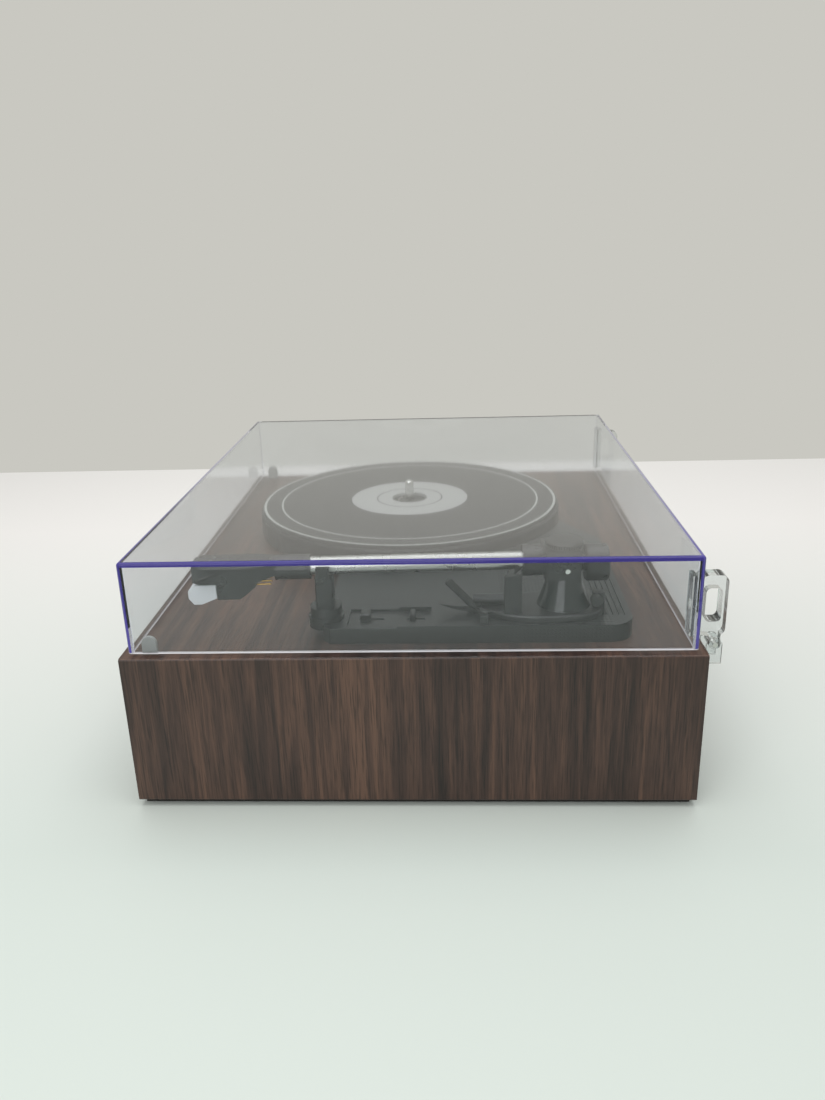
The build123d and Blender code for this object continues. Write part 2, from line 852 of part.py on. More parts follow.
def plate_outline(y_from, y_to):
    """The base plate's outline between two depths, cut along the platter."""
    left = plate_tail_x
    with BuildSketch() as outline:
        with BuildLine():
            Polyline(
                (platter_x, plinth_y + plate_front), (plate_right - plate_chamfer, plinth_y + plate_front),
                (plate_right, plinth_y + plate_front + plate_chamfer), (plate_right, plinth_y + plate_back),
                (plate_tail_back_x, plinth_y + plate_back), (left, plinth_y + plate_tail_y),
                (platter_x, plinth_y + plate_tail_y), close=True,
            )
        make_face()
        fillet(outline.vertices().group_by(Axis.Y)[-1].sort_by(Axis.X)[-1], plate_corner)
        with Locations((platter_x, spin_y)):
            Circle(clear_radius, mode=Mode.SUBTRACT)
        with Locations((platter_x, plinth_y)):
            Rectangle(-2 * platter_x + 2 * left, plinth_depth, mode=Mode.SUBTRACT)
        with Locations((half_width / 2, (y_from + y_to) / 2)):
            Rectangle(half_width * 2, y_to - y_from, mode=Mode.INTERSECT)
    return outline.sketch


step_y = plinth_y + plate_step_y
low_outline = plate_outline(front, step_y)
high_outline = plate_outline(step_y, back)
whole_outline = plate_outline(front, back)
with BuildPart() as tonearm_plate:
    with BuildSketch(Plane.XY.offset(deck)):
        add(low_outline)
    extrude(amount=plate_low)
    with BuildSketch(Plane.XY.offset(deck)):
        add(high_outline)
    extrude(amount=plate_high)
    with BuildSketch(Plane.XY.offset(deck)):
        add(whole_outline)
        offset(amount=-plate_wall, mode=Mode.REPLACE)
    extrude(amount=plate_low - plate_wall - panel_depth, mode=Mode.SUBTRACT)
    with BuildSketch(Plane.XY.offset(deck + plate_low - panel_depth)):
        with Locations(((panel_left + panel_right) / 2, plinth_y + (panel_front + panel_back) / 2)):
            Rectangle(panel_right - panel_left, panel_back - panel_front)
    extrude(amount=plate_high, mode=Mode.SUBTRACT)
    with BuildSketch(Plane.XY.offset(deck)):
        for slot in (speed_slot, stop_slot):
            with Locations((switch_x, plinth_y + sum(slot) / 2)):
                Rectangle(slot_width, slot[1] - slot[0])
        with Locations((pivot_x, arm_y)):
            Circle(post_shaft_radius + slot_gap)
    extrude(amount=plate_high, mode=Mode.SUBTRACT)
    with BuildSketch(Plane.XY.offset(deck + plate_high)):
        for turn in range(rib_count):
            with Locations(
                (
                    plate_right / 2 + plate_tail_back_x / 2,
                    plinth_y + plate_back - rib_start - turn * rib_pitch,
                ),
            ):
                Rectangle(plate_right - plate_tail_back_x - 2 * plate_corner, rib_width)
    extrude(amount=-rib_height, mode=Mode.SUBTRACT)
    for side in (-1, 1):
        ear_x = lever_x + side * (lever_hub_width / 2 + air_gap) - (lever_ear if side < 0 else 0)
        with BuildSketch(facing_right(ear_x)):
            with Locations((plinth_y + lever_y, deck + plate_high + lever_ear_height / 2)):
                Rectangle(lever_ear_depth, lever_ear_height)
        extrude(amount=lever_ear)
    with BuildSketch(facing_right(lever_x - lever_hub_width / 2 - air_gap)):
        with Locations((plinth_y + lever_y, deck + lever_axis_height)):
            Circle(lever_axle_radius)
    extrude(amount=lever_hub_width + 2 * air_gap)
save(tonearm_plate, "tonearm_plate")


def slide_switch(rest, knob, node):
    """A switch knob at its resting place in its slot, with a stem down through it."""
    length, width = knob
    knob_bottom = Plane.XY.offset(deck + plate_low - panel_depth + air_gap)
    with BuildPart() as knob_piece:
        with BuildSketch(knob_bottom):
            with Locations((switch_x, plinth_y + rest)):
                Rectangle(width, length)
        extrude(amount=switch_knob_height)
        chamfer(knob_piece.faces().sort_by(Axis.Z)[-1].edges(), switch_chamfer)
        with BuildSketch(knob_bottom):
            with Locations((switch_x, plinth_y + rest)):
                Rectangle(slot_width - slot_gap, slot_width - slot_gap)
        extrude(amount=-plate_low / 2)
    save(knob_piece, node)


slide_switch(speed_rest, speed_knob, "speed_switch")
slide_switch(stop_rest, stop_knob, "stop_switch")

# Pod under the tonearm, boat shaped, with its curled nose
pod_bottom = deck + plate_high
pod_top = pod_bottom + pod_height
with BuildPart() as pivot_pod:
    with BuildSketch(Plane.XY.offset(pod_bottom)):
        with BuildLine():
            Spline(*((pivot_x + x, arm_y + y) for x, y in pod_outline), periodic=True)
        make_face()
    extrude(amount=pod_height)
    fillet(pivot_pod.faces().sort_by(Axis.Z)[-1].edges(), edge_round)
    root_y, root_low, root_high = plinth_y + horn_root[0], deck + horn_root[1], deck + horn_root[2]
    tip, under, over = ((plinth_y + y, deck + z) for y, z in (horn_tip, horn_under, horn_over))
    with BuildSketch(facing_right(pivot_x + horn_offset)):
        with BuildLine():
            ThreePointArc(tip, under, (root_y, root_low))
            Line((root_y, root_low), (root_y, root_high))
            ThreePointArc((root_y, root_high), over, tip)
        make_face()
    extrude(amount=horn_width)
    with BuildSketch(facing_front(plinth_y + damper_back)):
        with Locations((pivot_x, pod_top + damper_rise)):
            Circle(damper_radius)
    extrude(amount=damper_back - damper_front)
    with BuildSketch(Plane.XY.offset(pod_bottom)):
        with Locations((skate_post_x, plinth_y + skate_post_front + skate_post_depth / 2)):
            Rectangle(skate_post_width, skate_post_depth)
    extrude(amount=skate_height + skate_radius - plate_high)
    with BuildSketch(facing_right(skate_post_x + skate_post_width / 2)):
        with Locations((plinth_y + skate_y, deck + skate_height)):
            Circle(skate_pin_radius + running_fit)
    extrude(amount=-skate_hole_depth, mode=Mode.SUBTRACT)
    with BuildSketch(Plane.XY.offset(pod_bottom)):
        with Locations((pivot_x, arm_y)):
            Circle(post_shaft_radius + slot_gap)
        with Locations((lift_shaft_x, plinth_y + lift_shaft_y)):
            Circle(lift_shaft_radius + slot_gap)
    extrude(amount=pod_height, mode=Mode.SUBTRACT)
save(pivot_pod, "pivot_pod")

with BuildPart() as anti_skate_knob:
    with BuildSketch(facing_right(skate_post_x + skate_post_width / 2 + air_gap)):
        with Locations((plinth_y + skate_y, deck + skate_height)):
            Circle(skate_radius)
    extrude(amount=skate_knob_thickness)
    chamfer(anti_skate_knob.faces().sort_by(Axis.X)[-1].edges(), skate_knob_chamfer)
    with BuildSketch(facing_right(skate_post_x + skate_post_width / 2 + air_gap)):
        with Locations((plinth_y + skate_y, deck + skate_height)):
            Circle(skate_pin_radius)
    extrude(amount=-skate_pin_length)
save(anti_skate_knob, "anti_skate_knob")

# Glossy cone under the gimbal, bored for the pivot post
cone_bottom = pod_height + plate_high
cone_height = yoke_base - yoke_gap - cone_bottom
with BuildPart() as pivot_cone:
    with BuildSketch(arm.offset(cone_bottom)):
        Circle(cone_bottom_radius)
    with BuildSketch(arm.offset(cone_bottom + cone_height)):
        Circle(cone_top_radius)
    loft()
    with BuildSketch(arm.offset(cone_bottom)):
        Circle(post_shaft_radius + running_fit)
    extrude(amount=cone_height, mode=Mode.SUBTRACT)
save(pivot_cone, "pivot_cone")

# Gimbal yoke with its post, cheeks and bridge
yoke_bottom = yoke_base
yoke_top = yoke_bottom + yoke_height
yoke_depth = yoke_front + yoke_back
yoke_mid = (yoke_back - yoke_front) / 2
with BuildPart() as gimbal_yoke:
    with BuildSketch(arm.offset(yoke_bottom)):
        with Locations((0, yoke_mid)):
            RectangleRounded(2 * yoke_half_width, yoke_depth, 2.5)
    extrude(amount=yoke_height)
    with BuildSketch(arm.offset(yoke_bottom + yoke_floor)):
        with Locations((0, yoke_mid)):
            Rectangle(2 * (yoke_half_width - yoke_cheek), yoke_depth * 2)
    extrude(amount=yoke_height - yoke_floor - yoke_bridge, mode=Mode.SUBTRACT)
    with BuildSketch(arm):
        Circle(post_shaft_radius)
    extrude(amount=yoke_bottom)
    with BuildSketch(
        Plane(
            origin=arm.from_local_coords(Vector(-half_width, 0, tilt_height)),
            x_dir=arm.y_dir,
            z_dir=arm.x_dir,
        ),
    ):
        Circle(tilt_pin_radius + seat_fit)
    extrude(amount=plinth_width, mode=Mode.SUBTRACT)
save(gimbal_yoke, "gimbal_yoke")

# Pivot screws through the cheeks, into the arm's block
pin_tip = 7.0
screw_proud = 0.5
with BuildPart() as pivot_screws:
    for side in (-1, 1):
        screw_end = arm.from_local_coords(Vector(side * (yoke_half_width + screw_proud), 0, tilt_height))
        with BuildSketch(Plane(origin=screw_end, x_dir=arm.y_dir, z_dir=arm.x_dir * -side)):
            Circle(tilt_pin_radius)
        extrude(amount=yoke_half_width + screw_proud - pin_tip)
save(pivot_screws, "pivot_screws")

with BuildPart() as yoke_cap:
    with BuildSketch(arm.offset(yoke_top)):
        Circle(cap_radius)
    extrude(amount=cap_height)
    chamfer(yoke_cap.faces().sort_by(Axis.Z)[-1].edges(), 0.8)
save(yoke_cap, "yoke_cap")

# Arm block between the cheeks, with the front sleeve and the rear stub
with BuildPart() as arm_block:
    with BuildSketch(arm.offset(block_bottom)):
        with Locations((0, (block_back - block_front) / 2)):
            Rectangle(2 * (yoke_half_width - yoke_cheek - yoke_gap), block_front + block_back)
    extrude(amount=block_top - block_bottom)
    with BuildSketch(along_arm.offset(block_front - sleeve_root)):
        with Locations((0, tube_height)):
            Circle(sleeve_radius)
    extrude(amount=sleeve_front - block_front + sleeve_root)
    with BuildSketch(along_arm.offset(-weight_front - weight_length)):
        with Locations((0, weight_axis_height)):
            Circle(stub_radius)
    extrude(amount=weight_front + weight_length - block_back)
    with BuildSketch(
        Plane(
            origin=arm.from_local_coords(Vector(-half_width, 0, tilt_height)),
            x_dir=arm.y_dir,
            z_dir=arm.x_dir,
        ),
    ):
        Circle(tilt_pin_radius + running_fit)
    extrude(amount=plinth_width, mode=Mode.SUBTRACT)
save(arm_block, "arm_block")

with BuildPart() as arm_tube:
    with BuildSketch(along_arm.offset(sleeve_front)):
        with Locations((0, tube_height)):
            Circle(tube_radius)
    extrude(amount=tube_end - sleeve_front)
save(arm_tube, "arm_tube")

with BuildPart() as counterweight:
    with BuildSketch(along_arm.offset(-weight_front - weight_length)):
        with Locations((0, weight_axis_height)):
            Circle(weight_radius)
            Circle(stub_radius + running_fit, mode=Mode.SUBTRACT)
    extrude(amount=weight_length)
    rims = counterweight.edges().filter_by(GeomType.CIRCLE).filter_by(
        lambda e: e.radius > weight_radius - seat_fit
    )
    chamfer(rims, 1.0)
save(counterweight, "counterweight")

# Headshell: collar on the tube, tapered shell over the cartridge, finger lift
with BuildPart() as headshell:
    with BuildSketch(arm.offset(shell_bottom)):
        with BuildLine():
            Polyline(
                (-shell_rear_width / 2, -shell_rear), (-shell_width / 2, -shell_rear - 12.0),
                (-shell_width / 2, -shell_tip + 5.0), (-shell_width / 2 + 4.0, -shell_tip),
                (shell_width / 2 - 4.0, -shell_tip), (shell_width / 2, -shell_tip + 5.0),
                (shell_width / 2, -shell_rear - 12.0), (shell_rear_width / 2, -shell_rear), close=True,
            )
        make_face()
    extrude(amount=shell_top - shell_bottom)
    fillet(headshell.faces().sort_by(Axis.Z)[-1].edges(), edge_round)
    with BuildSketch(arm.offset(shell_bottom)):
        with Locations((0, -(shell_tip + shell_rear) / 2 - shell_pocket_shift)):
            Rectangle(shell_width - 2 * shell_skirt, shell_tip - shell_rear - shell_pocket_less)
    extrude(amount=shell_top - shell_bottom - shell_roof, mode=Mode.SUBTRACT)
    with BuildSketch(side_of_arm(half_width)):
        with BuildLine():
            Polyline(
                (shell_rear - 2.0, shell_bottom - 1.0), (cartridge_rear + 4.0, shell_bottom - 1.0),
                (shell_rear - 2.0, shell_bottom + 5.0), close=True,
            )
        make_face()
    extrude(amount=plinth_width, mode=Mode.SUBTRACT)
    with BuildSketch(along_arm.offset(collar_rear)):
        with Locations((0, tube_height - collar_drop)):
            Circle(collar_radius)
    extrude(amount=collar_front - collar_rear + collar_into_shell)
    with BuildSketch(along_arm.offset(collar_rear)):
        with Locations((0, tube_height)):
            Circle(tube_radius + seat_fit)
    extrude(amount=tube_end - collar_rear + seat_fit, mode=Mode.SUBTRACT)
    with BuildSketch(arm.offset(shell_top - finger_drop)):
        with BuildLine():
            Polyline(
                (shell_width / 2 - finger_root, -shell_tip + finger_root_back),
                (shell_width / 2 + finger_length, -shell_tip + finger_tip_back),
                (shell_width / 2 + finger_length, -shell_tip + finger_tip_front),
                (shell_width / 2 - finger_root, -shell_tip + finger_root_front),
                close=True,
            )
        make_face()
    extrude(amount=finger_thickness)
save(headshell, "headshell")

with BuildPart() as cartridge:
    with BuildSketch(side_of_arm(-cartridge_width / 2)):
        with BuildLine():
            Polyline(
                (cartridge_rear, shell_bottom - 3.0), (cartridge_rear, shell_top - shell_roof),
                (cartridge_front, shell_top - shell_roof), (cartridge_front, cartridge_bottom),
                (cartridge_foot, cartridge_bottom), (cartridge_foot - 4.0, cartridge_bottom + 3.0), close=True,
            )
        make_face()
    extrude(amount=-cartridge_width)
save(cartridge, "cartridge")

# Four signal pins behind the cartridge
with BuildPart() as cartridge_pins:
    with BuildSketch(along_arm.offset(cartridge_rear - signal_pin_length)):
        with Locations((0, shell_bottom - signal_pin_drop)):
            with GridLocations(signal_pin_pitch_x, signal_pin_pitch_z, 2, 2):
                Circle(pin_wire_radius)
    extrude(amount=signal_pin_length)
save(cartridge_pins, "cartridge_pins")

# Stylus unit, a wedge in front of the cartridge with its cantilever
stylus_top = cartridge_bottom + 6.0
with BuildPart() as stylus_unit:
    with BuildSketch(side_of_arm(-2.0)):
        with BuildLine():
            Polyline(
                (cartridge_front, cartridge_bottom + 1.0), (cartridge_front, stylus_top),
                (cartridge_front + 7.0, cartridge_bottom + 2.4), (cartridge_front + 11.6, stylus_drop + 0.9),
                (cartridge_front + 11.9, stylus_drop), (cartridge_front + 10.6, stylus_drop + 0.6),
                (cartridge_front + 5.0, cartridge_bottom), close=True,
            )
        make_face()
    extrude(amount=-stylus_unit_width)
save(stylus_unit, "stylus_unit")

# Stylus guard, a hollow scoop pushed on over the stylus from the front
guard_width = 13.0
guard_wall = 1.2
guard_rear = cartridge_front + 0.6
with BuildPart() as stylus_guard:
    with BuildSketch(side_of_arm(-guard_width / 2)):
        with BuildLine():
            Polyline(
                (guard_rear, shell_bottom - 1.2), (guard_front - 5.0, shell_bottom - 1.2),
                (guard_front, shell_bottom - 5.0), (guard_front, guard_low + 4.0),
                (guard_front - 3.0, guard_low), (guard_front - 8.0, guard_low),
                (guard_rear, cartridge_bottom + 1.0), close=True,
            )
        make_face()
    extrude(amount=-guard_width)
    with BuildSketch(side_of_arm(-guard_width / 2 + guard_wall)):
        with BuildLine():
            Polyline(
                (guard_rear - 1.0, shell_bottom - 1.2 - guard_wall), (
                    guard_front - 5.4, shell_bottom - 1.2 - guard_wall
                ),
                (guard_front - guard_wall, shell_bottom - 5.6), (guard_front - guard_wall, guard_low),
                (guard_front - 1.0, guard_low - 1.0), (guard_rear - 1.0, guard_low - 1.0), close=True,
            )
        make_face()
    extrude(amount=-guard_width + 2 * guard_wall, mode=Mode.SUBTRACT)
save(stylus_guard, "stylus_guard")

# Rest post for the arm, with an open hook at the outside
post_plane = Plane(origin=(rest_x, plinth_y + rest_y, deck), z_dir=(0, 0, 1))
rest_cradle_half = 6.2
with BuildPart() as arm_rest_post:
    with BuildSketch(post_plane.offset(rest_base_bottom)):
        Circle(rest_base_radius)
    extrude(amount=rest_base_top - rest_flange - rest_base_bottom)
    with BuildSketch(post_plane.offset(rest_base_top - rest_flange)):
        Circle(rest_base_radius - rest_step)
    extrude(amount=rest_flange)
    with BuildSketch(post_plane.offset(rest_base_top)):
        RectangleRounded(rest_pillar_width, rest_pillar_width, rest_pillar_corner)
    extrude(amount=rest_pillar_top - rest_base_top)
    with BuildSketch(post_plane.offset(rest_pillar_top - 2.0)):
        with Locations((rest_cradle_half, 0)):
            Rectangle(3.0, rest_pillar_width - 3.0)
    extrude(amount=rest_hook_top - rest_pillar_top + 2.0)
    with BuildSketch(Plane.XY.offset(deck)):
        add(whole_outline)
    extrude(amount=plate_low, mode=Mode.SUBTRACT)
save(arm_rest_post, "arm_rest_post")

# Cue lift: tower with its bore, and the lift bar that follows the arm's arc
with BuildPart() as lift_tower:
    with BuildSketch(Plane.XY.offset(pod_top)):
        with Locations(((tower_near + tower_far) / 2, plinth_y + (tower_front + tower_back) / 2)):
            Rectangle(tower_near - tower_far, tower_back - tower_front)
    extrude(amount=deck + tower_top - pod_top)
    with BuildSketch(Plane.XY.offset(deck + tower_top)):
        with Locations((tower_near - 2.0, plinth_y + (tower_front + tower_back) / 2)):
            Rectangle(4.0, tower_back - tower_front)
    extrude(amount=tower_wall_top - tower_top)
    with BuildSketch(Plane.XY.offset(pod_top)):
        with Locations((lift_shaft_x, plinth_y + lift_shaft_y)):
            Circle(lift_shaft_radius + running_fit)
    extrude(amount=tower_top, mode=Mode.SUBTRACT)
save(lift_tower, "lift_tower")

bar_bottom = deck + lift_bar_top - lift_bar_height
with BuildPart() as lift_bar:
    with BuildSketch(Plane.XY.offset(pod_bottom + 1.0)):
        with Locations((lift_shaft_x, plinth_y + lift_shaft_y)):
            Circle(lift_shaft_radius)
    extrude(amount=bar_bottom - pod_bottom - 1.0)
    with BuildSketch(Plane.XY.offset(bar_bottom)):
        with BuildLine():
            CenterArc((pivot_x, arm_y), lift_bar_radius + lift_bar_width / 2, 214, 76)
            CenterArc((pivot_x, arm_y), lift_bar_radius - lift_bar_width / 2, 214, 76)
            for turn in (214, 290):
                PolarLine((pivot_x + (lift_bar_radius - lift_bar_width / 2) * cos(radians(turn)),
                           arm_y + (lift_bar_radius - lift_bar_width / 2) * sin(radians(turn))),
                          lift_bar_width, turn)
        make_face()
        with Locations((lift_shaft_x, plinth_y + lift_shaft_y)):
            Circle(lift_shaft_radius)
    extrude(amount=lift_bar_height)
save(lift_bar, "lift_bar")

# Cue lever on its own little axle, leaning to the front
lean = radians(lever_lean)
lever_origin = Vector(lever_x, plinth_y + lever_y, deck + lever_axis_height)
lever_dir = Vector(0, -sin(lean), cos(lean))
lever_plane = Plane(origin=lever_origin, x_dir=(1, 0, 0), z_dir=lever_dir)
with BuildPart() as cue_lever:
    with BuildSketch(
        Plane(origin=lever_origin - Vector(lever_hub_width / 2, 0, 0), x_dir=(0, 1, 0), z_dir=(1, 0, 0))
    ):
        Circle(lever_hub_radius)
    extrude(amount=lever_hub_width)
    with BuildSketch(lever_plane):
        Circle(lever_rod_radius)
    extrude(amount=lever_length)
    with BuildSketch(lever_plane.offset(lever_length / 3)):
        Circle(lever_sleeve_radius)
    extrude(amount=lever_length * 2 / 3)
    fillet(cue_lever.edges().filter_by(GeomType.CIRCLE).sort_by(Axis.Z)[-1], lever_sleeve_radius / 3)
    with BuildSketch(facing_right(lever_x - lever_hub_width)):
        with Locations((plinth_y + lever_y, deck + lever_axis_height)):
            Circle(lever_axle_radius + running_fit)
    extrude(amount=2 * lever_hub_width, mode=Mode.SUBTRACT)
save(cue_lever, "cue_lever")

# Dust cover: five clear walls
cover_width = plinth_width - 2 * cover_side_inset
cover_depth = plinth_depth - 2 * cover_end_inset
cover_back = plinth_y + cover_depth / 2
hinge_x = cover_width / 2 - hinge_side_inset - hinge_width / 2
cover_plane = Plane.XY.offset(deck + cover_lift).shift_origin((0, plinth_y, deck + cover_lift))
with BuildPart() as dust_cover:
    with BuildSketch(cover_plane):
        RectangleRounded(cover_width, cover_depth, cover_round)
    extrude(amount=cover_height - cover_lift)
    fillet(dust_cover.faces().sort_by(Axis.Z)[-1].edges(), cover_round - 0.5)
    with BuildSketch(cover_plane):
        RectangleRounded(cover_width - 2 * cover_wall, cover_depth - 2 * cover_wall, 1.0)
    extrude(amount=cover_height - cover_lift - cover_wall, mode=Mode.SUBTRACT)
    for side in (-1, 1):
        with BuildSketch(facing_right(side * hinge_x - web_width / 2 - seat_fit)):
            with Locations((cover_back - cover_wall / 2, deck + web_height)):
                Rectangle(cover_wall * 2, web_width + 2 * seat_fit)
        extrude(amount=web_width + 2 * seat_fit, mode=Mode.SUBTRACT)
save(dust_cover, "dust_cover")

# Soft bumpers inside the cover's side walls, near its front corners
wall_inner = cover_width / 2 - cover_wall
bumper_y = plinth_y - cover_depth / 2 + cover_wall + bumper_inset
bumper_straight = bumper_rise - bumper_width / 2
with BuildPart() as cover_bumpers:
    for side in (-1, 1):
        with BuildSketch(facing_right(side * wall_inner - (0 if side < 0 else 2.5))):
            with Locations((bumper_y, deck + bumper_straight / 2)):
                Rectangle(bumper_width, bumper_straight)
            with Locations((bumper_y, deck + bumper_straight)):
                Circle(bumper_width / 2)
        extrude(amount=2.5)
save(cover_bumpers, "cover_bumpers")

# Hinges: a clear clip over the cover's back wall, a foot on the plinth's back, a pin
hinge_out = back + hinge_reach
pin_y = back + pin_behind
pin_z = deck + pin_rise
with BuildPart() as hinge_clips:
    for side in (-1, 1):
        start = side * hinge_x - hinge_width / 2
        with BuildSketch(facing_right(start)):
            with Locations(((cover_back + hinge_out) / 2, deck + (clip_bottom + clip_top) / 2)):
                RectangleRounded(hinge_out - cover_back, clip_top - clip_bottom, clip_round)
            with Locations(((cover_back + hinge_out) / 2, deck + (window_bottom + window_top) / 2)):
                RectangleRounded(
                    hinge_out - cover_back - 2 * window_end, window_top - window_bottom,
                    window_end, mode=Mode.SUBTRACT,
                )
            with Locations((pin_y, pin_z)):
                Circle(knuckle_radius - 0.5)
            with BuildLine():
                Polyline(
                    (pin_y - knuckle_radius + 0.7, pin_z), (
                        pin_y - knuckle_radius + 0.7, deck + clip_bottom + clip_round
                    ),
                    (pin_y + knuckle_radius - 0.7, deck + clip_bottom + clip_round), (
                        pin_y + knuckle_radius - 0.7, pin_z
                    ),
                    close=True,
                )
            make_face()
            with Locations((pin_y, pin_z)):
                Circle(pin_radius + running_fit, mode=Mode.SUBTRACT)
        extrude(amount=hinge_width)
        with BuildSketch(facing_right(start)):
            with Locations((cover_back - cover_wall - inner_leg / 2, deck + (clip_bottom + clip_top) / 2)):
                Rectangle(inner_leg, clip_top - clip_bottom)
        extrude(amount=hinge_width)
        with BuildSketch(facing_right(side * hinge_x - web_width / 2)):
            with Locations((cover_back - cover_wall / 2, deck + web_height)):
                Rectangle(cover_wall, web_width)
        extrude(amount=web_width)
save(hinge_clips, "hinge_clips")

ear_width = 2.4
with BuildPart() as hinge_feet:
    for side in (-1, 1):
        for ear in (-1, 1):
            ear_start = side * hinge_x + ear * (hinge_width / 2 + air_gap) - (ear_width if ear < 0 else 0)
            with BuildSketch(facing_right(ear_start)):
                with Locations((pin_y, pin_z)):
                    Circle(knuckle_radius)
                with Locations(((back + pin_y) / 2 + knuckle_radius / 2, pin_z - knuckle_radius * 1.5)):
                    Rectangle(pin_behind + knuckle_radius, knuckle_radius * 3)
                with Locations((pin_y, pin_z)):
                    Circle(pin_radius + seat_fit, mode=Mode.SUBTRACT)
                with Locations((back - board, deck)):
                    Rectangle(2 * board, 2 * board + 2 * knuckle_radius, mode=Mode.SUBTRACT)
            extrude(amount=ear_width)
        with BuildSketch(facing_back(back)):
            with Locations((-side * hinge_x, pin_z - knuckle_radius * 3 / 2 - hinge_plate_drop / 2)):
                Rectangle(hinge_width + 2 * air_gap + 2 * ear_width, hinge_plate_drop)
        extrude(amount=hinge_plate)
save(hinge_feet, "hinge_feet")

with BuildPart() as hinge_pins:
    for side in (-1, 1):
        reach = hinge_width / 2 + air_gap + ear_width
        with BuildSketch(facing_right(side * hinge_x - reach)):
            with Locations((pin_y, pin_z)):
                Circle(pin_radius)
        extrude(amount=2 * reach)
save(hinge_pins, "hinge_pins")

print(len(pieces), "nodes")
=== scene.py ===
"""Looks of a record player in a walnut wrapped box with a clear hinged cover.

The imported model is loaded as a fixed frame, in metres. Each class below dresses one
sub-assembly of it, and adds the small pieces that belong to its looks.
"""

import logging
import math
from dataclasses import dataclass, field
from enum import Enum

import bpy
from mathutils import Matrix, Vector

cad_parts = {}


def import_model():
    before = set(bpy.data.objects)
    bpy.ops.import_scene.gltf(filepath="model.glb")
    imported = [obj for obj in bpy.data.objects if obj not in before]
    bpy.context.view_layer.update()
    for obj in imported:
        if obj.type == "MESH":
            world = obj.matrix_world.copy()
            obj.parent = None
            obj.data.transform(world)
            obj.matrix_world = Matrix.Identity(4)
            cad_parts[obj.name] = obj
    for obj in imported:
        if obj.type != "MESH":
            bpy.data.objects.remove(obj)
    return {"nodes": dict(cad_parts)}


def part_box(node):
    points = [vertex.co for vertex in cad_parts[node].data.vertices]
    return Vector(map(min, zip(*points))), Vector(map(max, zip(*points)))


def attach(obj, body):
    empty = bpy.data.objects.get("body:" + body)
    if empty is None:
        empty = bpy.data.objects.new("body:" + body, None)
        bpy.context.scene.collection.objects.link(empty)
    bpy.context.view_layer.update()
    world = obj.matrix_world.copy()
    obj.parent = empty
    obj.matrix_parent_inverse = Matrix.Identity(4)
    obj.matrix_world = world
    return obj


log = logging.getLogger("record_player")
MM = 0.001
Tree = bpy.types.NodeTree
Node = bpy.types.Node
Socket = bpy.types.NodeSocket
Material = bpy.types.Material
Span = tuple[float, float]
UNIT: Span = (0.0, 1.0)
RIB_SOCKETS = {
    "Count": "NodeSocketInt",
    "Radius": "NodeSocketFloat",
    "Rib": "NodeSocketVector",
    "Finish": "NodeSocketMaterial",
}


def srgb(colour: str) -> tuple[float, float, float, float]:
    """Turn an sRGB hex colour into the linear values that Blender's sockets hold.

    Args:
        colour: Six hex digits with a leading hash.

    Returns:
        Linear red, green and blue, and an alpha of 1.
    """
    values = [int(colour[at:at + 2], 16) / 255 for at in (1, 3, 5)]
    linear = [v / 12.92 if v <= 0.04045 else ((v + 0.055) / 1.055) ** 2.4 for v in values]
    return (linear[0], linear[1], linear[2], 1.0)


def add_node(tree: Tree, kind: str, inputs: dict | None = None, **settings) -> Node:
    """Add a node with its settings and its links.

    Args:
        tree: The node tree to add to.
        kind: The node's type, such as ShaderNodeMath.
        inputs: Input name or index to a value, or to the socket it is linked from.
        **settings: Attributes of the node.

    Returns:
        The new node.
    """
    node = tree.nodes.new(kind)
    for name, value in settings.items():
        setattr(node, name, value)
    for name, value in (inputs or {}).items():
        if isinstance(value, Socket):
            tree.links.new(value, node.inputs[name])
        else:
            node.inputs[name].default_value = value
    return node


def maths(tree: Tree, operation: str, *values: float | Socket) -> Socket:
    """Add a maths node.

    Args:
        tree: The node tree to add to.
        operation: What it does, such as MULTIPLY.
        *values: Its inputs, each a number or a socket.

    Returns:
        The result's socket.
    """
    return add_node(tree, "ShaderNodeMath", dict(enumerate(values)), operation=operation).outputs[0]


def spread(tree: Tree, value: Socket, span: Span, onto: Span) -> Socket:
    """Map a value from one span onto another, and hold it at their ends.

    Args:
        tree: The node tree to add to.
        value: The value to map.
        span: Where it runs from and to.
        onto: What the two ends become.

    Returns:
        The mapped value's socket.
    """
    ends = {"From Min": span[0], "From Max": span[1], "To Min": onto[0], "To Max": onto[1]}
    return add_node(tree, "ShaderNodeMapRange", {"Value": value, **ends}).outputs["Result"]


def noise(tree: Tree, place: Socket, size_mm: float, detail: float, **more: float) -> Socket:
    """Add a noise pattern.

    Args:
        tree: The node tree to add to.
        place: The coordinates it is drawn in.
        size_mm: The size of its patches.
        detail: How many finer layers it has.
        **more: Other inputs of the node.

    Returns:
        The pattern's socket.
    """
    given = {"Vector": place, "Scale": 1 / (size_mm * MM), "Detail": detail, **more}
    return add_node(tree, "ShaderNodeTexNoise", given).outputs["Fac"]


def relief(tree: Tree, height: Socket, strength: float, depth_mm: float) -> Socket:
    """Raise a surface by a pattern of heights.

    Args:
        tree: The node tree to add to.
        height: The pattern.
        strength: How much of it shows, from 0 to 1.
        depth_mm: How deep it is.

    Returns:
        The socket of the normal, for the surface.
    """
    given = {"Height": height, "Strength": strength, "Distance": depth_mm * MM}
    return add_node(tree, "ShaderNodeBump", given).outputs["Normal"]


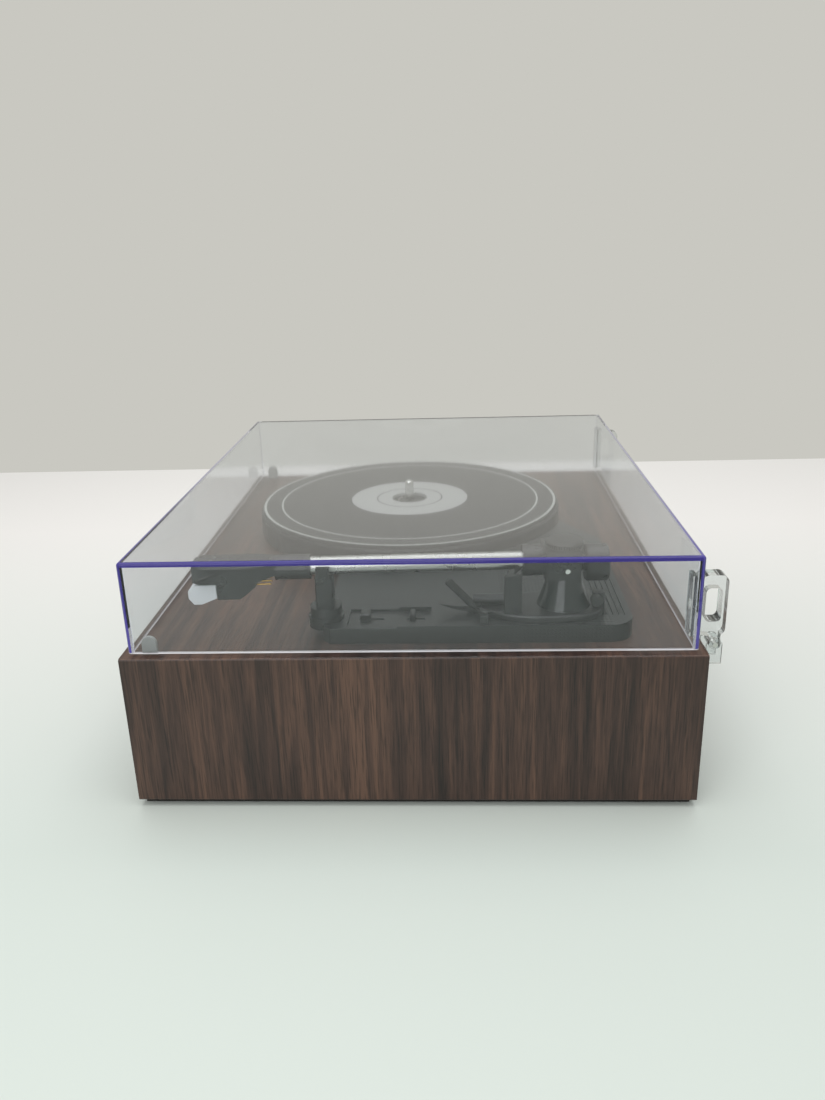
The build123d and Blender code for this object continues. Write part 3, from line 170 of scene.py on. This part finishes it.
def blend(tree: Tree, share: float | Socket, first, second, kind: str = "MIX") -> Socket:
    """Blend two colours.

    Args:
        tree: The node tree to add to.
        share: The second colour's share, from 0 to 1.
        first: The first colour, or its socket.
        second: The second colour, or its socket.
        kind: The way they are blended.

    Returns:
        The blended colour's socket.
    """
    given = {"Factor": share, "A": first, "B": second}
    return add_node(tree, "ShaderNodeMix", given, data_type="RGBA", blend_type=kind).outputs["Result"]


def new_material(name: str) -> tuple[Material, Tree, Node, Socket]:
    """Start an empty node material.

    Args:
        name: The material's name.

    Returns:
        The material, its tree, its output node and the socket of the place on the object.
    """
    material = bpy.data.materials.new(name)
    material.use_nodes = True
    tree = material.node_tree
    tree.nodes.clear()
    output = add_node(tree, "ShaderNodeOutputMaterial")
    return material, tree, output, add_node(tree, "ShaderNodeTexCoord").outputs["Object"]


def end_with(tree: Tree, output: Node, inputs: dict) -> None:
    """End a material with one surface.

    Args:
        tree: The material's tree.
        output: Its output node.
        inputs: What the surface is given.
    """
    surface = add_node(tree, "ShaderNodeBsdfPrincipled", inputs)
    tree.links.new(surface.outputs["BSDF"], output.inputs["Surface"])


def any_of(tree: Tree, rays: bpy.types.bpy_prop_collection, names: tuple[str, ...]) -> Socket:
    """Tell whether a ray is of one of some kinds.

    Args:
        tree: The node tree to add to.
        rays: The outputs of the light path node.
        names: The kinds, by the names of their outputs.

    Returns:
        The socket, 1 where it is and 0 elsewhere.
    """
    found = rays[names[0]]
    for name in names[1:]:
        found = maths(tree, "MAXIMUM", found, rays[name])
    return found


def dress(material: Material, *nodes: str) -> None:
    """Give one material to CAD nodes.

    Args:
        material: The finish.
        *nodes: Names of the nodes that take it.
    """
    for name in nodes:
        mesh = FRAME["nodes"][name].data
        mesh.materials.clear()
        mesh.materials.append(material)


class Grain(Enum):
    """The way the figure of the wrap runs, as its stretch along X, Y and Z."""

    ALONG_X = (0.04, 1.0, 1.0)
    ALONG_Z = (1.0, 1.0, 0.04)


@dataclass(frozen=True)
class MouldedFinish:
    """A moulded, turned or cast surface with an even colour and, on some, a fine relief."""

    name: str
    colour: str
    roughness: float
    metallic: float = 0.0
    grit: float = 0.0
    patchiness: float = 0.06
    lowest: float = 0.02
    grit_mm: float = 0.8
    grit_detail: float = 2.0
    grit_depth_mm: float = 0.1
    cloud_mm: float = 12.0
    cloud_detail: float = 3.0
    cloud_span: Span = (0.3, 0.7)

    def build(self) -> Material:
        """Make the material, with roughness that varies a little over the surface."""
        material, tree, output, place = new_material(self.name)
        cloud = noise(tree, place, self.cloud_mm, self.cloud_detail)
        smoothest = max(self.roughness - self.patchiness, self.lowest)
        roughest = min(self.roughness + self.patchiness, 1.0)
        inputs = {
            "Base Color": srgb(self.colour),
            "Metallic": self.metallic,
            "Roughness": spread(tree, cloud, self.cloud_span, (smoothest, roughest)),
        }
        if self.grit:
            grit = noise(tree, place, self.grit_mm, self.grit_detail)
            inputs["Normal"] = relief(tree, grit, self.grit, self.grit_depth_mm)
        end_with(tree, output, inputs)
        return material


@dataclass(frozen=True)
class WalnutWrap:
    """A printed walnut foil on board: satin, with long streaks and short dark pores."""

    name: str
    grain: Grain
    dark: str = "#221713"
    middle: str = "#412E26"
    light: str = "#5F4537"
    tones_at: tuple[float, float, float] = (0.38, 0.5, 0.62)
    roughness: float = 0.42
    board_mm: float = 70.0
    board_detail: float = 2.0
    streak_mm: float = 6.0
    streak_detail: float = 6.0
    streak_roughness: float = 0.65
    streak_bend: float = 0.6
    streak_share: float = 0.58
    pore_mm: float = 0.8
    pore_detail: float = 2.0
    pore_span: Span = (0.30, 0.52)
    pore_shade: float = 0.42
    pore_relief: float = 0.25
    pore_depth_mm: float = 0.1

    def build(self) -> Material:
        """Make the wood from wide bands, streaks and pores, all drawn along the grain."""
        material, tree, output, place = new_material(self.name)
        given = {"Vector": place, "Scale": self.grain.value}
        along = add_node(tree, "ShaderNodeMapping", given).outputs["Vector"]
        band = noise(tree, along, self.board_mm, self.board_detail)
        bends = {"Roughness": self.streak_roughness, "Distortion": self.streak_bend}
        streak = noise(tree, along, self.streak_mm, self.streak_detail, **bends)
        pore = noise(tree, along, self.pore_mm, self.pore_detail)
        shares = {"Factor": self.streak_share, "A": band, "B": streak}
        figure = add_node(tree, "ShaderNodeMix", shares, data_type="FLOAT").outputs["Result"]
        ramp = add_node(tree, "ShaderNodeValToRGB", {"Fac": figure})
        stops = ramp.color_ramp.elements
        stops[0].position, stops[0].color = self.tones_at[0], srgb(self.dark)
        stops[1].position, stops[1].color = self.tones_at[2], srgb(self.light)
        stops.new(self.tones_at[1]).color = srgb(self.middle)
        pores = spread(tree, pore, self.pore_span, (self.pore_shade, 1.0))
        end_with(tree, output, {
            "Base Color": blend(tree, 1.0, ramp.outputs["Color"], pores, "MULTIPLY"),
            "Roughness": self.roughness,
            "Normal": relief(tree, pores, self.pore_relief, self.pore_depth_mm),
        })
        return material


@dataclass(frozen=True)
class ClearMoulding:
    """Clear moulded styrene or polycarbonate: clean through its walls, glossy, IOR near 1.5.

    Along its edges the eye looks down the depth of the sheet, so the sheet's blue-violet tint
    shows there. Light that lights other pieces goes straight through it, and so does a ray that
    has already passed many faces, which keeps its path short. A thin band along its bottom rim is
    painted pale, as a painted highlight.
    """

    name: str
    clear: str = "#F6F8FA"
    edge: str = "#4A3FA6"
    # Pale colour of the bottom rim: a painted highlight.
    painted_rim_highlight: str = "#F3F1F4"
    shade: str = "#F2F3F5"
    edge_mm: float = 2.6
    # Height of the painted highlight band along the bottom rim.
    painted_rim_highlight_mm: float = 0.6
    roughness: float = 0.03
    ior: float = 1.49
    glare: float = 0.2
    deepest: float = 5.0
    edge_clearness: float = 0.5
    far_tint: float = 0.25
    over_one_face: float = 1.5

    def near_face(self, tree: Tree, place: Socket, at: float, depth: float, above: bool) -> Socket:
        """Give 1 where a coordinate lies within a depth of a face, and 0 elsewhere.

        Args:
            tree: The material's tree.
            place: The coordinate.
            at: Where the face lies.
            depth: How far in from it still counts.
            above: Whether the face is at the coordinate's high end.

        Returns:
            The mask's socket.
        """
        if above:
            return maths(tree, "GREATER_THAN", place, at - depth)
        return maths(tree, "LESS_THAN", place, at + depth)

    def edge_mask(self, tree: Tree, parts: Node, low: Vector, high: Vector) -> Socket:
        """Give 1 along the top edges and the upright corners of a box-shaped moulding.

        Args:
            tree: The material's tree.
            parts: The node that splits the place into X, Y and Z.
            low: The moulding's lowest corner.
            high: The moulding's highest corner.

        Returns:
            The mask's socket, which weakens towards low X.
        """
        depth = self.edge_mm * MM
        faces = [self.near_face(tree, parts.outputs["Z"], high.z, depth, True)]
        for axis in range(2):
            place = parts.outputs[axis]
            ends = [self.near_face(tree, place, side[axis], depth, side is high) for side in (low, high)]
            faces.append(maths(tree, "MAXIMUM", *ends))
        count = maths(tree, "ADD", maths(tree, "ADD", faces[0], faces[1]), faces[2])
        edge = maths(tree, "GREATER_THAN", count, self.over_one_face)
        fade = spread(tree, parts.outputs["X"], (low.x, high.x), (self.far_tint, 1.0))
        return maths(tree, "MULTIPLY", edge, fade)

    def build(self, low: Vector, high: Vector, tint_and_rim_highlight: bool = True) -> Material:
        """Make the material for a moulding that fills a box.

        Args:
            low: The moulding's lowest corner.
            high: The moulding's highest corner.
            tint_and_rim_highlight: Whether its edges show the tint and its bottom rim the painted highlight.

        Returns:
            The material.
        """
        material, tree, output, place = new_material(self.name)
        inputs = {
            "Base Color": srgb(self.clear),
            "Roughness": self.roughness,
            "IOR": self.ior,
            "Specular IOR Level": self.glare,
            "Transmission Weight": 1.0,
        }
        if tint_and_rim_highlight:
            parts = add_node(tree, "ShaderNodeSeparateXYZ", {0: place})
            mask = self.edge_mask(tree, parts, low, high)
            # A thin band along the bottom rim is painted pale and made less clear: a painted highlight.
            painted_rim_highlight = self.near_face(tree, parts.outputs["Z"], low.z, self.painted_rim_highlight_mm * MM, False)
            colour = blend(tree, mask, srgb(self.clear), srgb(self.edge))
            inputs["Base Color"] = blend(tree, painted_rim_highlight, colour, srgb(self.painted_rim_highlight))
            solid = maths(tree, "MAXIMUM", mask, painted_rim_highlight)
            inputs["Transmission Weight"] = spread(tree, solid, UNIT, (1.0, self.edge_clearness))
        surface = add_node(tree, "ShaderNodeBsdfPrincipled", inputs)
        rays = add_node(tree, "ShaderNodeLightPath").outputs
        soft = any_of(tree, rays, ("Is Shadow Ray", "Is Diffuse Ray"))
        deep = maths(tree, "GREATER_THAN", rays["Transmission Depth"], self.deepest)
        through = maths(tree, "MAXIMUM", soft, deep)
        straight = add_node(tree, "ShaderNodeBsdfTransparent", {"Color": srgb(self.shade)})
        sides = {0: through, 1: surface.outputs["BSDF"], 2: straight.outputs["BSDF"]}
        mixed = add_node(tree, "ShaderNodeMixShader", sides)
        tree.links.new(mixed.outputs["Shader"], output.inputs["Surface"])
        return material


@dataclass(frozen=True)
class DottedPlate:
    """Moulded black ABS, satin, with a field of small raised dots beside the pivot pod."""

    name: str
    colour: str = "#1D1F1E"
    roughness: float = 0.34
    dot_mm: float = 2.4
    dot_edge: Span = (0.2, 0.45)
    dot_relief: float = 0.6
    dot_depth_mm: float = 0.25
    front: float = 0.057
    back: float = 0.124

    def build(self) -> Material:
        """Make the plate's material, its dots only between front and back."""
        material, tree, output, place = new_material(self.name)
        given = {"Vector": place, "Scale": 1 / (self.dot_mm * MM), "Randomness": 0.0}
        cells = add_node(tree, "ShaderNodeTexVoronoi", given, voronoi_dimensions="3D")
        dot = spread(tree, cells.outputs["Distance"], self.dot_edge, (1.0, 0.0))
        along = add_node(tree, "ShaderNodeSeparateXYZ", {0: place}).outputs["Y"]
        past = maths(tree, "GREATER_THAN", along, self.front)
        before = maths(tree, "LESS_THAN", along, self.back)
        height = maths(tree, "MULTIPLY", dot, maths(tree, "MULTIPLY", past, before))
        end_with(tree, output, {
            "Base Color": srgb(self.colour),
            "Roughness": self.roughness,
            "Normal": relief(tree, height, self.dot_relief, self.dot_depth_mm),
        })
        return material


@dataclass(frozen=True)
class RingedMat:
    """A moulded rubber mat with fine grooves, two silver rings and a pale middle disc."""

    name: str
    rubber: str = "#34322F"
    disc: str = "#B3B3AE"
    silver: str = "#B9BCB4"
    rings_mm: tuple[tuple[float, str], ...] = field(default=(
        (0.0, "disc"), (26.4, "rubber"), (27.4, "disc"), (48.5, "rubber"),
        (105.2, "silver"), (106.8, "rubber"), (119.4, "silver"), (121.3, "rubber")))
    roughness: float = 0.55
    groove_mm: float = 1.5
    groove_relief: float = 0.35
    groove_depth_mm: float = 0.15

    def build(self, centre: Vector, radius: float) -> Material:
        """Make the material, drawn as rings round the platter's axis.

        Args:
            centre: A point on the axis.
            radius: The mat's own radius, in metres.

        Returns:
            The material.
        """
        material, tree, output, place = new_material(self.name)
        offset = add_node(tree, "ShaderNodeVectorMath", {0: place, 1: centre}, operation="SUBTRACT")
        level = {0: offset.outputs["Vector"], 1: (1.0, 1.0, 0.0)}
        flat = add_node(tree, "ShaderNodeVectorMath", level, operation="MULTIPLY")
        reach = add_node(tree, "ShaderNodeVectorMath", {0: flat.outputs["Vector"]}, operation="LENGTH")
        out = reach.outputs["Value"]
        ramp = add_node(tree, "ShaderNodeValToRGB", {"Fac": maths(tree, "DIVIDE", out, radius)})
        ramp.color_ramp.interpolation = "CONSTANT"
        stops = ramp.color_ramp.elements
        stops.remove(stops[1])
        for turn, (at_mm, tone) in enumerate(self.rings_mm):
            stop = stops[0] if turn == 0 else stops.new(min(at_mm * MM / radius, 1.0))
            stop.color = srgb(getattr(self, tone))
        wave = maths(tree, "MULTIPLY", out, 2 * math.pi / (self.groove_mm * MM))
        groove = maths(tree, "SINE", wave)
        end_with(tree, output, {
            "Base Color": ramp.outputs["Color"],
            "Roughness": self.roughness,
            "Normal": relief(tree, groove, self.groove_relief, self.groove_depth_mm),
        })
        return material


@dataclass(frozen=True)
class WovenCloth:
    """A plain woven loudspeaker cloth, black, with its threads as a small check of light."""

    name: str
    colour: str = "#161617"
    thread_mm: float = 1.2  # Real thread is near 0.4 mm, which is too fine to show.
    threads_per_scale: float = 6.0
    roughness: float = 0.9
    sheen: float = 0.15
    weave_relief: float = 0.8
    weave_depth_mm: float = 0.3

    def build(self) -> Material:
        """Make the cloth from two crossed waves."""
        material, tree, output, place = new_material(self.name)
        given = {"Vector": place, "Scale": 1 / (self.thread_mm * MM) / self.threads_per_scale}
        warp = add_node(tree, "ShaderNodeTexWave", given, bands_direction="X").outputs["Fac"]
        weft = add_node(tree, "ShaderNodeTexWave", given, bands_direction="Z").outputs["Fac"]
        weave = maths(tree, "MULTIPLY", warp, weft)
        end_with(tree, output, {
            "Base Color": srgb(self.colour),
            "Roughness": self.roughness,
            "Sheen Weight": self.sheen,
            "Normal": relief(tree, weave, self.weave_relief, self.weave_depth_mm),
        })
        return material


@dataclass
class KnurledRim:
    """Fine ribs round a turned knob or cap, made by one node tree."""

    name: str
    body: str
    slot: str
    count: int
    rib_mm: tuple[float, float, float]
    axis: Vector
    centre: Vector
    radius: float
    material: Material

    def tree(self) -> Tree:
        """Make the tree: points round a circle, a rib on each, then one mesh."""
        tree = bpy.data.node_groups.new(f"{self.name}_ribs", "GeometryNodeTree")
        tree.interface.new_socket("Geometry", in_out="INPUT", socket_type="NodeSocketGeometry")
        for name, kind in RIB_SOCKETS.items():
            tree.interface.new_socket(name, in_out="INPUT", socket_type=kind)
        tree.interface.new_socket("Geometry", in_out="OUTPUT", socket_type="NodeSocketGeometry")
        given = add_node(tree, "NodeGroupInput").outputs
        size = {"Vertices": given["Count"], "Radius": given["Radius"]}
        circle = add_node(tree, "GeometryNodeMeshCircle", size)
        rib = add_node(tree, "GeometryNodeMeshCube", {"Size": given["Rib"]})
        out = {"Vector": add_node(tree, "GeometryNodeInputPosition").outputs[0]}
        facing = add_node(tree, "FunctionNodeAlignEulerToVector", out, axis="X", pivot_axis="Z")
        ribs = add_node(tree, "GeometryNodeInstanceOnPoints", {
            "Points": circle.outputs["Mesh"],
            "Instance": rib.outputs["Mesh"],
            "Rotation": facing.outputs["Rotation"],
        })
        real = add_node(tree, "GeometryNodeRealizeInstances", {"Geometry": ribs.outputs["Instances"]})
        coat = {"Geometry": real.outputs[0], "Material": given["Finish"]}
        finished = add_node(tree, "GeometryNodeSetMaterial", coat)
        add_node(tree, "NodeGroupOutput", {"Geometry": finished.outputs["Geometry"]})
        return tree

    def build(self) -> bpy.types.Object:
        """Make the ribs as one plain mesh in their place, riding on their body."""
        seed = bpy.data.objects.new(f"{self.name}_seed", bpy.data.meshes.new(f"{self.name}_seed"))
        bpy.context.collection.objects.link(seed)
        tree = self.tree()
        modifier = seed.modifiers.new("ribs", "NODES")
        modifier.node_group = tree
        rib = tuple(side * MM for side in self.rib_mm)
        sizes = {"Count": self.count, "Radius": self.radius, "Rib": rib, "Finish": self.material}
        for item in tree.interface.items_tree:
            if item.in_out == "INPUT" and item.name in sizes:
                modifier[item.identifier] = sizes[item.name]
        ready = seed.evaluated_get(bpy.context.evaluated_depsgraph_get())
        mesh = bpy.data.meshes.new_from_object(ready)
        bpy.data.objects.remove(seed)
        turn = Vector((0, 0, 1)).rotation_difference(self.axis).to_matrix().to_4x4()
        mesh.transform(Matrix.Translation(self.centre) @ turn)
        piece = bpy.data.objects.new(self.name, mesh)
        bpy.context.collection.objects.link(piece)
        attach(piece, self.body)
        log.info("%s: %d ribs", self.name, self.count)
        return piece


@dataclass
class Cabinet:
    """The walnut box with its base, feet, loudspeakers, volume knob and rear sockets."""

    knob_ribs: int = 60
    knob_rib_mm: tuple[float, float, float] = (0.4, 0.7, 6.0)
    knob_ribs_from_front_mm: float = 5.0

    def build(self) -> None:
        """Dress the box, and add the ribs round the volume knob."""
        sides = WalnutWrap("walnut_wrap_sides", Grain.ALONG_Z).build()
        dress(sides, "right_side_board", "left_side_board", "back_board")
        dress(WalnutWrap("walnut_wrap_deck", Grain.ALONG_X).build(), "deck_board", "front_baffle")
        dress(WovenCloth("speaker_cloth").build(), "left_grille", "right_grille")
        for finish, nodes in (
            (MouldedFinish("raw_pine", "#B99468", 0.7, grit=0.2), ["corner_blocks"]),
            (MouldedFinish("painted_fibreboard", "#1B1714", 0.8, grit=0.3), ["bottom_cover"]),
            (MouldedFinish("black_rubber", "#161616", 0.75, grit=0.2),
             ["rubber_feet", "motor_grommets", "drive_belt"]),
            (MouldedFinish("zinc_plated_steel", "#B8B8B2", 0.35, metallic=1.0),
             ["base_screws", "deck_screws", "hub_screws", "motor", "motor_bracket"]),
            (MouldedFinish("moulded_black_plastic", "#1A1A1B", 0.5, grit=0.15),
             ["rear_jack_plate", "volume_pot", "aux_jack", "dc_inlet", "left_speaker", "right_speaker"]),
            (MouldedFinish("rocker_plastic", "#0F0F10", 0.25), ["power_rocker"]),
            (MouldedFinish("nickel_plated_brass", "#C9C2AE", 0.22, metallic=1.0), ["rca_jacks"]),
            (MouldedFinish("circuit_laminate", "#1E5A34", 0.4), ["main_board"]),
        ):
            dress(finish.build(), *nodes)
        aluminium = MouldedFinish("turned_aluminium", "#B9B9B7", 0.28, metallic=1.0).build()
        dress(aluminium, "volume_knob", "dial_ring")
        low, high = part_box("volume_knob")
        middle = (low + high) / 2
        centre = Vector((middle.x, low.y + self.knob_ribs_from_front_mm * MM, middle.z))
        KnurledRim("volume_knob_ribs", "volume_dial", "tube_alloy", self.knob_ribs, self.knob_rib_mm,
                   Vector((0, -1, 0)), centre, (high.x - low.x) / 2, aluminium).build()
        log.info("cabinet dressed")


class Drive:
    """The platter with its mat and spindle, its bearing, and the motor's pulley."""

    def build(self) -> None:
        """Dress everything that turns the record."""
        low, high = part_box("platter_mat")
        dress(RingedMat("ringed_rubber_mat").build((low + high) / 2, (high.x - low.x) / 2), "platter_mat")
        for finish, nodes in (
            (MouldedFinish("cast_aluminium_black", "#2B2B2A", 0.38, metallic=0.6), ["platter"]),
            (MouldedFinish("polished_steel", "#D5D5D2", 0.12, metallic=1.0), ["spindle", "thrust_ball"]),
            (MouldedFinish("turned_brass", "#B8914F", 0.25, metallic=1.0),
             ["bearing_housing", "motor_pulley"]),
        ):
            dress(finish.build(), *nodes)
        log.info("drive dressed")


@dataclass
class Tonearm:
    """The base plate with its controls, the gimbal, the arm and its headshell."""

    cap_ribs: int = 48
    cap_rib_mm: tuple[float, float, float] = (0.5, 0.8, 2.2)
    cap_ribs_down_mm: float = 0.4
    even: float = 0.02

    def build(self) -> None:
        """Dress the arm's pieces, and add the ribs round the cap on the yoke."""
        satin = MouldedFinish("satin_abs", "#171818", 0.34, patchiness=self.even).build()
        dress(satin, "pivot_pod")
        dress(DottedPlate("dotted_abs_plate").build(), "tonearm_plate")
        for finish, nodes in (
            (MouldedFinish("smooth_abs", "#0D0E0E", 0.26, patchiness=self.even),
             ["speed_switch", "stop_switch", "anti_skate_knob", "arm_rest_post", "lift_tower", "lift_bar",
              "gimbal_yoke", "yoke_cap", "arm_block", "counterweight", "headshell", "cartridge",
              "stylus_unit", "cue_lever"]),
            # The cone's teal tint is a painted reflection; the plastic itself is black.
            (MouldedFinish("black_plastic_painted_teal_reflection", "#0A1615", 0.06, patchiness=0.0), ["pivot_cone"]),
            (MouldedFinish("satin_aluminium_tube", "#A9A9A6", 0.3, metallic=1.0), ["arm_tube"]),
            (MouldedFinish("bright_screw_steel", "#D8D8D4", 0.18, metallic=1.0), ["pivot_screws"]),
            (MouldedFinish("gilt_brass_pins", "#C9A45A", 0.25, metallic=1.0), ["cartridge_pins"]),
            (MouldedFinish("milky_polypropylene", "#DADCDD", 0.5), ["stylus_guard"]),
        ):
            dress(finish.build(), *nodes)
        low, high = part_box("yoke_cap")
        middle = (low + high) / 2
        centre = Vector((middle.x, middle.y, middle.z - self.cap_ribs_down_mm * MM))
        KnurledRim("yoke_cap_ribs", "arm_gimbal", "black_abs", self.cap_ribs, self.cap_rib_mm,
                   Vector((0, 0, 1)), centre, (high.x - low.x) / 2, satin).build()
        log.info("tonearm dressed")


class DustCover:
    """The clear cover with its soft bumpers and its two hinges."""

    def build(self) -> None:
        """Dress the cover and the hinges."""
        dress(ClearMoulding("clear_polystyrene").build(*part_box("dust_cover")), "dust_cover")
        clips = ClearMoulding("clear_polycarbonate", clear="#E9ECEC", roughness=0.06, ior=1.58)
        dress(clips.build(*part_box("hinge_clips"), tint_and_rim_highlight=False), "hinge_clips", "hinge_feet")
        dress(MouldedFinish("frosted_silicone", "#9C9D99", 0.5).build(), "cover_bumpers")
        dress(MouldedFinish("hinge_pin_steel", "#C8C8C4", 0.2, metallic=1.0).build(), "hinge_pins")
        log.info("cover dressed")


@dataclass(frozen=True)
class Lamp:
    """One soft square lamp."""

    name: str
    place: tuple[float, float, float]
    size: float
    watts: float


@dataclass
class Studio:
    """A plain pale table before a plain wall, soft light, and the camera of the photograph."""

    eye: Vector = field(default_factory=lambda: Vector((0.68592, 0.03006, 0.34437)))
    yaw: float = -0.054
    pitch: float = 0.345
    roll: float = -0.031
    focal_px: float = 904.36
    frame_px: float = 1100.0
    sensor_mm: float = 36.0
    table_end: float = -0.65
    reach: float = 3.0
    table: str = "#D0D8D1"
    far_table: str = "#F4F1ED"
    fade_span: Span = (0.25, -0.35)
    table_roughness: float = 0.6
    wall: str = "#C9C8C1"
    sky: str = "#E2E4E4"
    sky_strength: float = 0.62
    aim: Vector = field(default_factory=lambda: Vector((0, 0, 0.08)))
    lamps: tuple[Lamp, ...] = (
        Lamp("overhead", (0.1, 0.0, 1.5), 1.6, 16.0),
        Lamp("fill", (1.3, -0.4, 0.8), 1.0, 7.0),
    )

    def table_top(self) -> Material:
        """Make the matt table, which is paler towards its far end, as if more light fell there."""
        material, tree, output, place = new_material("table_top")
        across = add_node(tree, "ShaderNodeSeparateXYZ", {0: place}).outputs["X"]
        fade = spread(tree, across, self.fade_span, UNIT)
        end_with(tree, output, {
            "Base Color": blend(tree, fade, srgb(self.table), srgb(self.far_table)),
            "Roughness": self.table_roughness,
        })
        return material

    def room(self) -> bpy.types.World:
        """Make the world: even light, and the wall's colour to the camera and in clear or glossy pieces."""
        world = bpy.data.worlds.new("room")
        world.use_nodes = True
        tree = world.node_tree
        tree.nodes.clear()
        rays = add_node(tree, "ShaderNodeLightPath").outputs
        seen = any_of(tree, rays, ("Is Camera Ray", "Is Glossy Ray", "Is Transmission Ray"))
        sky = {"Color": srgb(self.sky), "Strength": self.sky_strength}
        light = add_node(tree, "ShaderNodeBackground", sky).outputs[0]
        wall = add_node(tree, "ShaderNodeBackground", {"Color": srgb(self.wall), "Strength": 1.0}).outputs[0]
        mixed = add_node(tree, "ShaderNodeMixShader", {0: seen, 1: light, 2: wall})
        add_node(tree, "ShaderNodeOutputWorld", {"Surface": mixed.outputs["Shader"]})
        return world

    def lay_table(self) -> None:
        """Lay the table as one flat sheet that ends where the photograph shows the wall."""
        near, side, end = self.reach, self.reach, self.table_end
        mesh = bpy.data.meshes.new("table")
        corners = [(end, -side, 0), (near, -side, 0), (near, side, 0), (end, side, 0)]
        mesh.from_pydata(corners, [], [(0, 1, 2, 3)])
        mesh.materials.append(self.table_top())
        piece = bpy.data.objects.new("table", mesh)
        bpy.context.collection.objects.link(piece)

    def hang(self, lamp: Lamp) -> None:
        """Hang a lamp so that it faces the player.

        Args:
            lamp: The lamp.
        """
        data = bpy.data.lights.new(lamp.name, "AREA")
        data.size, data.energy = lamp.size, lamp.watts
        holder = bpy.data.objects.new(lamp.name, data)
        holder.location = lamp.place
        holder.rotation_euler = (self.aim - Vector(lamp.place)).to_track_quat("-Z", "Y").to_euler()
        bpy.context.collection.objects.link(holder)

    def camera(self) -> None:
        """Set the camera where the photograph was taken from."""
        level_share, down = math.cos(self.pitch), -math.sin(self.pitch)
        ahead = Vector((-math.cos(self.yaw) * level_share, math.sin(self.yaw) * level_share, down))
        level = Vector((math.sin(self.yaw), math.cos(self.yaw), 0))
        upright = level.cross(ahead)
        if upright.z < 0:
            upright = -upright
        right = math.cos(self.roll) * level + math.sin(self.roll) * upright
        up = -math.sin(self.roll) * level + math.cos(self.roll) * upright
        data = bpy.data.cameras.new("camera")
        data.sensor_width = self.sensor_mm
        data.lens = self.focal_px / self.frame_px * self.sensor_mm
        holder = bpy.data.objects.new("camera", data)
        turn = Matrix((right, up, -ahead)).transposed().to_4x4()
        holder.matrix_world = Matrix.Translation(self.eye) @ turn
        bpy.context.collection.objects.link(holder)
        bpy.context.scene.camera = holder

    def build(self) -> None:
        """Set up the table, the room, the lights and the camera."""
        self.lay_table()
        for lamp in self.lamps:
            self.hang(lamp)
        bpy.context.scene.world = self.room()
        self.camera()
        bpy.context.scene.view_settings.view_transform = "Standard"
        log.info("studio set")


def main() -> None:
    """Dress every sub-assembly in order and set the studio."""
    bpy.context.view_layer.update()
    Cabinet().build()
    Drive().build()
    Tonearm().build()
    DustCover().build()
    Studio().build()


if __name__ == "__main__":
    logging.basicConfig(level=logging.INFO, format="%(name)s: %(message)s")
    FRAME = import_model()
    main()
